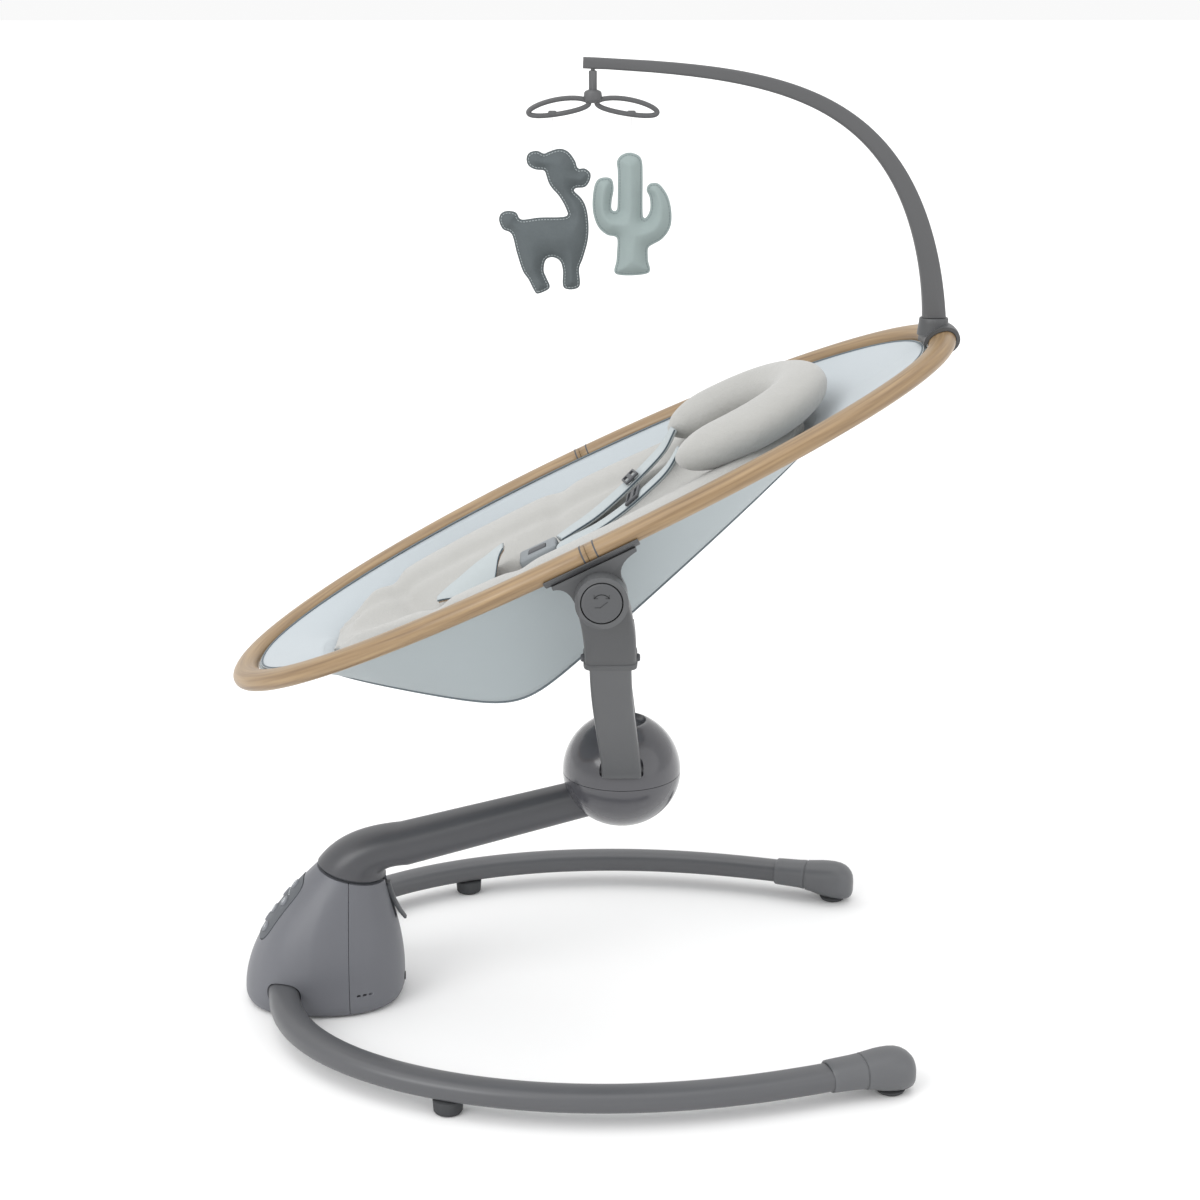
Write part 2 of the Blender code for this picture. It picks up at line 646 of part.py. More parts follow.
POST_SHARES = [i / 7 for i in range(8)]
posts = {}
brackets = {}
release_buttons = {}
recline_buttons = {}
for word, side in SIDES.items():
    post = loft(
        f"post_{word}",
        bar_sections(post_line, side, POST_WIDTH / 2, POST_THICKNESS / 2, 12, POST_SHARES),
    )
    tongue_size = (2 * TONGUE_HALF, TONGUE_WIDTH, 0.030)
    tongue = block(f"post_tongue_{word}", tongue_size, (side * TONGUE_X, POST_Y, POST_BOTTOM - 0.011))
    join(post, as_cutter(tongue))

    shares = (0.0, 0.25, 0.5, 0.75, 1.0)
    sections = bar_sections(
        bracket_line, side, BRACKET_WIDTH / 2, BRACKET_THICKNESS / 2, 12, shares
    )
    for i, section in enumerate(sections):
        middle = sum(section, Vector()) / len(section)
        squeeze = mix(1.0, 0.76, i / (len(sections) - 1))
        sections[i] = [
            Vector((mix(middle.x, point.x, squeeze), mix(middle.y, point.y, 0.94), point.z))
            for point in section
        ]
    bracket = loft(f"bracket_{word}", sections)
    head = rod(
        f"bracket_head_{word}",
        HEAD_RADIUS,
        (side * HEAD_INNER, PIVOT.y, PIVOT.z),
        (side * HEAD_OUTER, PIVOT.y, PIVOT.z),
        24,
    )
    join(bracket, as_cutter(head))
    # collar band round the bracket's mouth
    band_line = (-0.001, 0.0, 0.006, 0.007)
    band = []
    for offset in band_line:
        swell = 0.0 if offset in (-0.001, 0.007) else 0.0012
        centre = BRACKET_FOOT + LEAN * (offset + 0.002)
        band.append(
            side_section(
                centre, LEAN, side, BRACKET_WIDTH / 2 + swell, BRACKET_THICKNESS / 2 + swell
            )
        )
    join(bracket, as_cutter(loft(f"collar_band_{word}", band)))
    # the part of the loft that would reach inside the saddle's disc is trimmed off
    trim_low = PIVOT.z - HEAD_RADIUS - 0.0011
    trim_centre = (side * (HEAD_INNER - 0.02), PIVOT.y, trim_low + 0.036)
    cut(bracket, as_cutter(block(f"bracket_trim_{word}", (0.04, 0.09, 0.072), trim_centre)))
    # socket for the post
    socket_points = [BRACKET_FOOT - LEAN * 0.006, BRACKET_FOOT + LEAN * SOCKET_DEPTH]
    socket = [
        side_section(point, LEAN, side, POST_WIDTH / 2 + 0.0008, POST_THICKNESS / 2 + 0.0012)
        for point in socket_points
    ]
    cut(bracket, as_cutter(loft(f"post_socket_{word}", socket)))
    # pocket for the round recline button, and the pivot bore behind it
    pocket_floor = HEAD_OUTER - 0.0105
    cut(
        bracket,
        as_cutter(
            rod(
                f"button_pocket_{word}",
                CAP_RADIUS + 0.0006,
                (side * pocket_floor, PIVOT.y, PIVOT.z),
                (side * (HEAD_OUTER + 0.01), PIVOT.y, PIVOT.z),
                20,
            )
        ),
    )
    cut(
        bracket,
        as_cutter(
            rod(
                f"pivot_bore_{word}",
                PIVOT_RADIUS + 0.0003,
                (side * (HEAD_INNER - 0.01), PIVOT.y, PIVOT.z),
                (side * (pocket_floor + 0.002), PIVOT.y, PIVOT.z),
                24,
            )
        ),
    )
    posts[word] = post
    brackets[word] = bracket

    button_axis = axis_at(f"recline_button_axis_{word}", (side * HEAD_OUTER, PIVOT.y, PIVOT.z))
    cap = turned(
        f"recline_button_{word}",
        (
            (0.0, 0.0010),
            (CAP_RADIUS * 0.72, 0.0008),
            (CAP_RADIUS - 0.0012, 0.0002),
            (CAP_RADIUS, -0.0010),
            (CAP_RADIUS, -0.0055),
            (0.0, -0.0055),
        ),
        20,
    )
    cap.rotation_euler = (0, side * math.pi / 2, 0)
    recline_buttons[word] = finish(cap, MID_GREY, button_axis)

    # push buttons through the collar, front and rear
    for end, sign in (("front", -1), ("rear", 1)):
        spot = BRACKET_FOOT + LEAN * 0.0055
        spot = Vector((spot.x * side, spot.y, spot.z))
        face = BRACKET_WIDTH / 2
        bore = rod(
            f"release_bore_{word}_{end}",
            RELEASE_RADIUS + GAP,
            spot + Vector((0, sign * (POST_WIDTH / 2 - 0.004), 0)),
            spot + Vector((0, sign * (face + 0.01), 0)),
            12,
        )
        bore = as_cutter(bore)
        cut(bracket, bore)
        cut(post, bore)
        axis = axis_at(f"release_axis_{word}_{end}", spot + Vector((0, sign * face, 0)))
        button = turned(
            f"release_button_{word}_{end}",
            (
                (0.0, 0.0042),
                (RELEASE_RADIUS - 0.0012, 0.0040),
                (RELEASE_RADIUS, 0.0026),
                (RELEASE_RADIUS, -0.0052),
                (0.0, -0.0052),
            ),
            12,
        )
        button.rotation_euler = (-sign * math.pi / 2, 0, 0)
        release_buttons[word, end] = finish(button, DARK_GREY, axis)

for word in SIDES:
    finish(posts[word], MID_GREY)
    finish(brackets[word], GREY)

finish(swing_arm, GREY)
finish(ball_upper, GREY)
finish(ball_lower, GREY)
finish(ball_yoke, STEEL)

# ---- rail --------------------------------------------------------------------------------------


def rail_point(angle, inward=0.0, drop=0.0):
    """A point of the rail's centre line in the seat's frame; angle 0 is the head end."""
    c = math.cos(angle)
    s = math.sin(angle)
    along = (HALF_LENGTH - inward) * math.copysign(abs(c) ** (2 / RAIL_POWER), c)
    egg = 1 - RAIL_EGG * along / HALF_LENGTH
    wide = (HALF_WIDTH * egg - inward) * math.copysign(abs(s) ** (2 / RAIL_POWER), s)
    rise = RAIL_BOW * (1 - (along / HALF_LENGTH) ** 2)
    return Vector((wide, along, rise - drop))


def rail_body(name, start, end, count, extra=0.0, sides=12):
    """A length of the rail between two angles, or the same shape grown all round by extra."""
    sections = []
    for i in range(count):
        angle = mix(start, end, i / (count - 1))
        ahead = rail_point(angle + 0.01) - rail_point(angle - 0.01)
        out = ahead.cross(Vector((0, 0, 1))).normalized()
        up = Vector((0, 0, RAIL_HALF_HEIGHT + extra))
        sections.append(oval(rail_point(angle), out * (RAIL_HALF_WIDTH + extra), up, 2.15, sides))
    return loft(name, sections)


SEAM = GAP / 2 / HALF_LENGTH
RAIL_STEPS = 31  # enough that the flats between sections stay clear of the fabric
half_turn = math.pi / 2
ring_head = rail_body("ring_head_half", -half_turn + SEAM, half_turn - SEAM, RAIL_STEPS)
ring_foot = rail_body("ring_foot_half", half_turn + SEAM, 3 * half_turn - SEAM, RAIL_STEPS)
finish(ring_head, WOOD_LOOK, seat)
finish(ring_foot, WOOD_LOOK, seat)

# ---- saddles: cradle under the rail, with the pivot disc -----------------------------------------

saddles = {}
for word, side in SIDES.items():
    reach = SADDLE_LENGTH / 2 / HALF_LENGTH
    middle = side * half_turn
    sleeve = rail_body(f"saddle_{word}", middle - reach, middle + reach, 6, SADDLE_WALL, 14)
    rail_clear = rail_body(f"rail_clear_{word}", middle - 2 * reach, middle + 2 * reach, 7, RAIL_PLAY)
    as_cutter(rail_clear, seat)
    crown = RAIL_BOW - 0.004
    sleeve_top = block(f"sleeve_top_{word}", (0.08, 0.2, 0.04), (side * HALF_WIDTH, 0, crown + 0.02))
    centre = Vector((0, -PIVOT_TO_FOOT, -PIVOT_DROP))
    disc = rod(
        f"saddle_disc_{word}",
        HEAD_RADIUS,
        centre + Vector((side * SADDLE_INNER, 0, 0)),
        centre + Vector((side * (HEAD_INNER - GAP), 0, 0)),
        36,
    )
    boss = rod(
        f"saddle_boss_{word}",
        PIVOT_RADIUS,
        centre + Vector((side * (SADDLE_INNER + 0.004), 0, 0)),
        centre + Vector((side * (HEAD_OUTER - 0.0112), 0, 0)),
        24,
    )
    web_depth = PIVOT_DROP + RAIL_BOW - RAIL_HALF_HEIGHT
    web_size = (HEAD_INNER - GAP - SADDLE_INNER, 0.040, web_depth)
    web_centre = (
        side * (HEAD_INNER - GAP + SADDLE_INNER) / 2,
        -PIVOT_TO_FOOT,
        centre.z + web_depth / 2 - 0.0008,
    )
    web = block(f"saddle_web_{word}", web_size, web_centre)
    join(sleeve, as_cutter(web, seat))
    join(sleeve, as_cutter(disc, seat))
    join(sleeve, as_cutter(boss, seat))
    cut(sleeve, as_cutter(sleeve_top, seat))
    cut(sleeve, rail_clear)
    # room for the bracket's round head under the flange
    head_room = rod(
        f"head_room_{word}",
        HEAD_RADIUS + 0.0006,
        centre + Vector((side * HEAD_INNER, 0, 0)),
        centre + Vector((side * (HEAD_OUTER + 0.01), 0, 0)),
        36,
    )
    disc_keep = rod(
        f"disc_keep_{word}",
        PIVOT_RADIUS + 0.0001,
        centre + Vector((side * (HEAD_INNER - 0.002), 0, 0)),
        centre + Vector((side * (HEAD_OUTER + 0.02), 0, 0)),
        24,
    )
    cut(head_room, as_cutter(disc_keep, seat))
    cut(sleeve, as_cutter(head_room, seat))
    saddles[word] = finish(sleeve, GREY, seat)

# ---- fabric bowl ----------------------------------------------------------------------------------


def bowl_depth(along):
    """Depth of the bowl's bottom below the rail's plane: two slopes that meet in a round."""
    foot = PANEL_END_DEPTH + FOOT_SLOPE * (along + PANEL_FOOT)
    head = PANEL_END_DEPTH + HEAD_SLOPE * (PANEL_HEAD - along)
    near = min(foot, head)
    blend = math.exp(-(foot - near) / BOTTOM_ROUNDING) + math.exp(-(head - near) / BOTTOM_ROUNDING)
    return near - BOTTOM_ROUNDING * math.log(blend)


def panel_point(angle, across=1.0):
    """A point of the bottom panel: across 1 is its left edge, -1 its right edge."""
    middle = (PANEL_HEAD - PANEL_FOOT) / 2
    along = middle + (PANEL_HEAD + PANEL_FOOT) / 2 * math.cos(angle)
    wide = PANEL_HALF_WIDTH * abs(math.sin(angle)) ** 0.55 * across
    sag = 0.006 * (1 - across * across) * abs(math.sin(angle))
    return Vector((wide, along, -bowl_depth(along) - sag))


def bowl_surface(name):
    """The outside of the bowl as an open surface: taut sides from the rail down to the panel."""
    around = 32
    rows = 3
    bm = bmesh.new()
    rings = []
    for row in range(rows + 1):
        share = row / rows
        ring = []
        for i in range(around):
            angle = 2 * math.pi * i / around
            edge = rail_point(angle, RAIL_HALF_WIDTH + 0.0012, 0.0015)
            sign = 1 if math.sin(angle) >= 0 else -1
            low = panel_point(angle, sign)
            ring.append(bm.verts.new(mix(edge, low, share)))
        rings.append(ring)
    for upper, lower in zip(rings, rings[1:]):
        for i in range(around):
            j = (i + 1) % around
            bm.faces.new((upper[j], upper[i], lower[i], lower[j]))
    last = rings[-1]
    half = around // 2
    spine = {}
    for i in range(1, half):
        angle = 2 * math.pi * i / around
        spine[i] = bm.verts.new(panel_point(angle, 0.0))
    for i in range(0, half):
        a, b = last[i], last[i + 1]
        c, d = last[-i], last[-(i + 1)]
        if i == 0:
            bm.faces.new((a, spine[1], b))
            bm.faces.new((a, d, spine[1]))
        elif i == half - 1:
            bm.faces.new((a, spine[i], b))
            bm.faces.new((c, b, spine[i]))
        else:
            bm.faces.new((a, spine[i], spine[i + 1], b))
            bm.faces.new((c, d, spine[i + 1], spine[i]))
    bmesh.ops.recalc_face_normals(bm, faces=bm.faces)
    middle = min(bm.faces, key=lambda face: face.calc_center_median().z)
    if middle.normal.z > 0:
        bmesh.ops.reverse_faces(bm, faces=bm.faces)
    for face in bm.faces:
        face.smooth = True
    mesh = bpy.data.meshes.new(name)
    bm.to_mesh(mesh)
    bm.free()
    return bpy.data.objects.new(name, mesh)


seat_shell = bowl_surface("seat_shell")
thicken = seat_shell.modifiers.new("wall", "SOLIDIFY")
thicken.thickness = SHELL_WALL
thicken.offset = -1
thicken.use_even_offset = False
finish(seat_shell, OUTER_CLOTH, seat)

# ---- padded insert, head hugger and harness --------------------------------------------------------

INSERT_FOOT = PANEL_FOOT - 0.026
INSERT_HEAD = PANEL_HEAD - 0.018
INSERT_HALF_WIDTH = HALF_WIDTH - RAIL_HALF_WIDTH - 0.0402
INSERT_CREST = 0.008
VALLEY = 0.034


def insert_width(along):
    middle = (INSERT_HEAD - INSERT_FOOT) / 2
    half = (INSERT_HEAD + INSERT_FOOT) / 2
    share = min(1.0, abs(along - middle) / half)
    return INSERT_HALF_WIDTH * max(0.30, (1 - share**2.4) ** 0.5)


def insert_bottom(along, across):
    """Follows the bowl a little above its inside."""
    depth = bowl_depth(along) - SHELL_WALL - 0.018
    middle = (PANEL_HEAD - PANEL_FOOT) / 2
    half = (PANEL_HEAD + PANEL_FOOT) / 2
    reach = min(1.0, abs(along - middle) / half)
    panel = PANEL_HALF_WIDTH * (1 - reach**2) ** 0.4 - 0.022
    rail_line = HALF_WIDTH * max(0.05, 1 - (abs(along) / HALF_LENGTH) ** RAIL_POWER) ** 0.483
    rail = rail_line - RAIL_HALF_WIDTH - 0.0292
    climb = max(0.0, (abs(across) - panel) / max(0.02, rail - panel))
    return -max(0.006, depth * (1 - climb))


def insert_top(along, across):
    wide = insert_width(along)
    crest = 0.74 * wide
    deep = min(VALLEY, 0.45 * max(0.0, bowl_depth(along) - 0.020))
    if abs(across) < crest:
        return -INSERT_CREST - deep * math.cos(math.pi / 2 * abs(across) / crest) ** 2
    return -INSERT_CREST - 0.006 * ((abs(across) - crest) / (wide - crest)) ** 2


def insert_section(along, shrink=1.0):
    wide = insert_width(along) * shrink
    columns = 11
    top = []
    bottom = []
    for i in range(columns):
        across = wide * math.sin(mix(-half_turn, half_turn, i / (columns - 1)))
        high = insert_top(along, across)
        low = insert_bottom(along, across)
        low = min(low, high - 0.012)
        centre = (high + low) / 2
        top.append(Vector((across, along, mix(centre, high, shrink))))
        bottom.append(Vector((across * 0.985, along, mix(centre, low, shrink))))
    return top + bottom[::-1]


stations = [0.0, 0.02, 0.07, 0.16, 0.26, 0.36, 0.46, 0.56, 0.66, 0.76, 0.86, 0.94, 0.985, 1.0]
sections = []
for share in stations:
    edge = min(share, 1 - share)
    shrink = 0.55 if edge == 0 else (0.85 if edge < 0.03 else 1.0)
    sections.append(insert_section(mix(-INSERT_FOOT, INSERT_HEAD, share), shrink))
finish(loft("seat_insert", sections), PLUSH, seat)

HUGGER_RADIUS = 0.026
hugger_height = -INSERT_CREST + HUGGER_RADIUS + 0.0012
hugger_points = []
hugger_radii = []
hugger_steps = 16
for i in range(hugger_steps + 1):
    share = i / hugger_steps
    point = bezier(
        (
            (0.080, 0.105, hugger_height),
            (0.125, 0.190, hugger_height),
            (0.095, 0.312, hugger_height),
            (-0.095, 0.312, hugger_height),
            (-0.125, 0.190, hugger_height),
            (-0.080, 0.105, hugger_height),
        ),
        share,
    )
    end = min(share, 1 - share) * hugger_steps
    hugger_points.append(point)
    rounding = (0.45, 0.82, 0.97)[int(end)] if end < 3 else 1.0
    hugger_radii.append(HUGGER_RADIUS * rounding)
finish(wire("head_hugger", hugger_points, hugger_radii, 3), PLUSH, seat)


def band(name, run, half_width, half_thickness):
    """A flat padded strap: run is (x, along, height, width share) stations."""
    sections = []
    for i, (x, along, height, share) in enumerate(run):
        before = Vector(run[max(i - 1, 0)][:3])
        after = Vector(run[min(i + 1, len(run) - 1)][:3])
        ahead = (after - before).normalized()
        across = ahead.cross(Vector((0, 0, 1))).normalized()
        up = across.cross(ahead).normalized()
        sections.append(
            oval((x, along, height), across * half_width * share, up * half_thickness, 3.0, 12)
        )
    return loft(name, sections)


for word, side in SIDES.items():
    run = (
        (side * 0.052, 0.118, 0.024, 0.60),
        (side * 0.050, 0.098, 0.010, 0.90),
        (side * 0.046, 0.070, -0.001, 1.0),
        (side * 0.040, 0.035, -0.012, 1.0),
        (side * 0.031, 0.000, -0.020, 1.0),
        (side * 0.021, -0.030, -0.023, 0.85),
        (side * 0.0165, -0.045, -0.0245, 0.70),
    )
    finish(band(f"shoulder_strap_{word}", run, 0.0160, 0.0035), WEBBING, seat)

crotch_run = (
    (0, -0.190, -0.0250, 0.25),
    (0, -0.180, -0.0245, 0.55),
    (0, -0.160, -0.0215, 0.90),
    (0, -0.138, -0.0165, 1.0),
    (0, -0.118, -0.0120, 0.80),
    (0, -0.104, -0.0090, 0.45),
)
finish(band("crotch_pad", crotch_run, 0.034, 0.0030), WEBBING, seat)

BUCKLE_ALONG = -0.070
BUCKLE_HEIGHT = -0.026
buckle = block("harness_buckle", (0.040, 0.044, 0.013), (0, BUCKLE_ALONG, BUCKLE_HEIGHT), 0.003)
button_room = as_cutter(
    block("buckle_button_room", (0.0168, 0.0208, 0.02), (0, BUCKLE_ALONG, BUCKLE_HEIGHT + 0.0078)),
    seat,
)
cut(buckle, button_room)
finish(buckle, DARK_GREY, seat)
buckle_axis = axis_at("buckle_button_axis", (0, BUCKLE_ALONG, BUCKLE_HEIGHT + 0.0065), parent=seat)
buckle_button = block("buckle_button", (0.0160, 0.0200, 0.0055), (0, 0, -0.0018), 0.0012)
finish(buckle_button, RUBBER, buckle_axis)

# ---- toy clamp on the rail's head end, with an upright socket ------------------------------------

rail_tip = rail_point(0.0)
tip_world = SEAT_CENTRE + SEAT_ALONG * rail_tip.y + SEAT_UP * rail_tip.z
TOY_BASE = Vector((0, tip_world.y - 0.0075, tip_world.z + RAIL_HALF_HEIGHT + 0.0125))
clamp_reach = 0.020 / HALF_WIDTH
clamp = rail_body("toy_clamp", -clamp_reach, clamp_reach, 4, 0.0048, 14)
clamp_rail = rail_body("clamp_rail", -3 * clamp_reach, 3 * clamp_reach, 12, RAIL_PLAY)
as_cutter(clamp_rail, seat)
to_seat = Matrix.Rotation(-SEAT_TILT, 4, "X") @ Matrix.Translation(-SEAT_CENTRE)
socket_body = moved(
    rod(
        "clamp_socket",
        0.0165,
        TOY_BASE - Vector((0, 0, 0.018)),
        TOY_BASE - Vector((0, 0, GAP)),
        28,
        0.0150,
    ),
    to_seat,
)
peg_bore = moved(
    rod(
        "peg_bore",
        TOY_PEG_RADIUS + 0.0001,
        TOY_BASE - Vector((0, 0, 0.0095)),
        TOY_BASE + Vector((0, 0, 0.01)),
        24,
    ),
    to_seat,
)
shell_room_face = HALF_LENGTH - RAIL_HALF_WIDTH - GAP
shell_room = block("clamp_shell_room", (0.1, 0.03, 0.05), (0, shell_room_face - 0.015, -0.021))
join(clamp, as_cutter(socket_body, seat))
cut(clamp, clamp_rail)
cut(clamp, as_cutter(peg_bore, seat))
cut(clamp, as_cutter(shell_room, seat))
finish(clamp, GREY, seat)

# ---- toy bar ----------------------------------------------------------------------------------------

toy_axis = axis_at("toy_bar_axis", TOY_BASE)
bar_rise = TOY_BAR_TOP - TOY_BASE.z
bar_reach = TOY_BAR_TIP_Y - TOY_BASE.y
# base, three guiding points as shares of the reach and the rise, tip
bar_points = [Vector((0, bar_reach * reach, bar_rise * rise)) for reach, rise in TOY_BAR_CURVE]
bar_steps = 14
sections = []
for i in range(bar_steps + 1):
    share = i / bar_steps
    centre = bezier(bar_points, share)
    ahead = bezier(bar_points, min(1.0, share + 0.01)) - bezier(bar_points, max(0.0, share - 0.01))
    if i == 0:
        ahead = Vector((0, 0, 1))
    ahead.normalize()
    across = Vector((0, ahead.z, -ahead.y))
    half = mix(TOY_BAR_BASE_HALF, TOY_BAR_TIP_HALF, share**0.8)
    sections.append(oval(centre, across * half, (half * 0.72, 0, 0), 2.8, 10))
toy_bar = loft("toy_bar", sections)
peg = rod("toy_peg", TOY_PEG_RADIUS, (0, 0, -0.0085), (0, 0, 0.004), 24)
join(toy_bar, as_cutter(peg, toy_axis))
PIN_Y = TOY_BAR_TIP_Y + 0.010
pin_local = Vector((0, PIN_Y - TOY_BASE.y, 0))
pin_hole = rod(
    "pin_hole",
    0.0023,
    pin_local + Vector((0, 0, TOY_BAR_TOP - TOY_BASE.z - 0.012)),
    pin_local + Vector((0, 0, TOY_BAR_TOP - TOY_BASE.z + 0.0022)),
    16,
)
cut(toy_bar, as_cutter(pin_hole, toy_axis))
finish(toy_bar, GREY, toy_axis)

# ---- toy hanger: a pin, a small hub and two open leaf-shaped loops ----------------------------------

HANGER_Z = TOY_BAR_TOP - 0.035
HANGER_REACH = 0.066
hanger_axis = axis_at("hanger_axis", (0, PIN_Y, HANGER_Z))
LOOP_RADIUS = 0.0026
hanger = turned(
    "toy_hanger",
    (
        (0.0, 0.0365),
        (0.0021, 0.0365),
        (0.0021, 0.0275),
        (0.0042, 0.0270),
        (0.0042, 0.0080),
        (0.0085, 0.0060),
        (0.0095, -0.0010),
        (0.0060, -0.0050),
        (0.0, -0.0050),
    ),
    20,
)
for name, sign in (("foot", -1), ("head", 1)):
    loop = []
    loop_steps = 14
    for i in range(loop_steps):
        angle = 2 * math.pi * i / loop_steps
        along = HANGER_REACH * (0.53 - 0.47 * math.cos(angle))
        upper = math.sin(angle)
        height = -0.0095 * (along / HANGER_REACH) ** 1.6
        height += 0.0072 * upper if upper > 0 else 0.0075 * upper
        loop.append(Vector((0, sign * along, height - 0.0050)))
    join(hanger, as_cutter(solid(wire(f"hanger_loop_{name}", loop, LOOP_RADIUS, 1, True)), hanger_axis))
finish(hanger, GREY, hanger_axis)

# ---- toys: stuffed flat shapes on strings -------------------------------------------------------------

LLAMA_Y = -0.035
CACTUS_Y = 0.046
HOOK_Z = HANGER_Z - 0.0188


def toy(name, look, axis, outline, half_thickness):
    """A stuffed flat toy from its outline in millimetres (along, height), rounded at the rim."""
    curve = bpy.data.curves.new(name, "CURVE")
    curve.dimensions = "2D"
    curve.fill_mode = "BOTH"
    rim = half_thickness * 0.42
    curve.extrude = half_thickness - rim
    curve.bevel_depth = rim
    curve.bevel_resolution = 0
    curve.offset = -rim
    spline = curve.splines.new("BEZIER")
    spline.bezier_points.add(len(outline) - 1)
    for point, (along, height) in zip(spline.bezier_points, outline):
        point.co = (along / 1000, height / 1000, 0)
        point.handle_left_type = "AUTO"
        point.handle_right_type = "AUTO"
    spline.use_cyclic_u = True
    spline.resolution_u = 2
    body = solid(bpy.data.objects.new(name, curve))
    moved(body, Matrix(((0, 0, 1, 0), (1, 0, 0, 0), (0, 1, 0, 0), (0, 0, 0, 1))))
    return finish(body, look, axis)


LLAMA = (
    (7, -34), (22, -42), (27, -50), (37, -53), (40, -62), (34, -71), (21, -74), (24, -87),
    (35, -105), (37, -126), (31, -150), (29, -175), (14, -177), (9, -155), (0, -145),
    (-8, -157), (-6, -177), (-17, -183), (-28, -171), (-35, -150), (-42, -124), (-53, -116),
    (-56, -104), (-46, -95), (-33, -102), (-12, -103), (8, -102), (13, -92), (1, -74),
    (-6, -58), (-18, -55), (-27, -45), (-20, -34), (-8, -39),
)
CACTUS = (
    (-1, -37), (10, -43), (13, -58), (13, -102), (18, -103), (21, -92), (16, -80), (19, -70),
    (30, -69), (39, -79), (43, -97), (38, -117), (27, -128), (17, -135), (19, -162),
    (-14, -162), (-13, -125), (-28, -120), (-37, -108), (-40, -90), (-37, -67), (-26, -61),
    (-17, -70), (-17, -92), (-14, -94), (-14, -55), (-10, -42),
)
for name, spot_y, look, outline in (
    ("llama", LLAMA_Y, DARK_FELT, LLAMA),
    ("cactus", CACTUS_Y, PALE_CLOTH, CACTUS),
):
    axis = axis_at(f"{name}_axis", (0, spot_y, HOOK_Z))
    body = toy(f"{name}_toy", look, axis, outline, TOY_HALF_THICKNESS)
    _, knot, _, _ = body.ray_cast(Vector((0, 0, 0)), Vector((0, 0, -1)))
    string = rod(f"{name}_string", STRING_RADIUS, (0, 0, -STRING_PLAY), knot + Vector((0, 0, GAP)), 8)
    finish(string, THREAD, axis)

# ---- finish the base ------------------------------------------------------------------------------------

tower_cut = as_cutter(block("tower_cut", (0.2, 0.2, 0.1), (0, HUB_BASE_Y, 0.0073 - 0.05)))
spindle_tower.location = NECK
spindle_tower.rotation_euler = SWING_TURN.to_euler()
cut(spindle_tower, tower_cut)
finish(spindle_tower, DARK_GREY)
finish(spindle, STEEL, swing_axis)
for name, top in (("bearing_upper", TOWER_TOP - 0.002), ("bearing_lower", SPINDLE_BOTTOM + 0.014)):
    piece = bearing(name, top)
    finish(piece, STEEL, None)
    piece.location = NECK
    piece.rotation_euler = SWING_TURN.to_euler()

MAGNET_TOP = -0.0075
MAGNET_REACH = 0.026
lever = turned(
    "drive_magnet",
    (
        (SPINDLE_RADIUS + GAP, MAGNET_TOP),
        (0.0125, MAGNET_TOP),
        (0.0125, MAGNET_TOP - 0.007),
        (SPINDLE_RADIUS + GAP, MAGNET_TOP - 0.007),
    ),
    24,
)
lever_arm = block(
    "lever_arm", (0.011, 0.0200, 0.005), (0, -0.0195, MAGNET_TOP - 0.0035)
)
join(lever, as_cutter(lever_arm, swing_axis))
finish(lever, STEEL, swing_axis)
coil = turned(
    "drive_coil",
    (
        (0.0025, -0.022),
        (0.0068, -0.022),
        (0.0068, -0.034),
        (0.0025, -0.034),
    ),
    20,
)
coil.location = NECK + Vector((0, -0.0275 * math.cos(SWING_LEAN), 0.0275 * math.sin(SWING_LEAN)))
coil.rotation_euler = SWING_TURN.to_euler()
finish(coil, COPPER)

hub_panel_n = Vector((0, -0.818, 0.575)).normalized()
hub_panel_up = Vector((0, 0.575, 0.818)).normalized()
PANEL_MIDDLE = Vector((0, HUB_NECK_Y - 0.080, 0.109))
PANEL_LENGTH = 0.086
PANEL_WIDTH = 0.062
panel_turn = Matrix((
    (1, 0, 0, 0),
    (0, hub_panel_up.y, hub_panel_n.y, 0),
    (0, hub_panel_up.z, hub_panel_n.z, 0),
    (0, 0, 0, 1),
))
hub_bm = bmesh.new()
hub_probe = hub_solid("hub_probe")
hub_bm.from_mesh(hub_probe.data)
bpy.data.objects.remove(hub_probe, do_unlink=True)
hub_tree = BVHTree.FromBMesh(hub_bm)
hub_bm.free()


def on_hub(x, along):
    """The point of the hub's front under a spot of the control panel, and the slope there."""
    start = PANEL_MIDDLE + hub_panel_up * along + hub_panel_n * 0.06 + Vector((x, 0, 0))
    spot, normal, _, _ = hub_tree.ray_cast(start, -hub_panel_n)
    return spot, normal


def panel_prism(name, extra, deep, high):
    """A tapered, round-cornered prism square to the hub's front slope."""
    rows = []
    for height in (-deep, high):
        ring = []
        wide = (PANEL_WIDTH / 2 + extra, 0, 0)
        tall = (0, PANEL_LENGTH / 2 + extra, 0)
        for point in oval((0, 0, 0), wide, tall, 4.0, 20):
            taper = mix(1.0, 0.80, (point.y / PANEL_LENGTH + 0.5))
            ring.append(
                PANEL_MIDDLE
                + Vector((point.x * taper, 0, 0))
                + hub_panel_up * point.y
                + hub_panel_n * height
            )
        rows.append(ring)
    return loft(name, rows)


panel_centre, _ = on_hub(0, 0)
PANEL_MIDDLE = panel_centre
control_panel = hub_solid("control_panel", -0.0009)
combine(control_panel, as_cutter(panel_prism("panel_prism", 0.0, 0.030, 0.02)), "INTERSECT")
cut(control_panel, as_cutter(hub_inside("panel_inside")))
cut(hub_outer_front, as_cutter(panel_prism("panel_opening", GAP, 0.030, 0.02)))

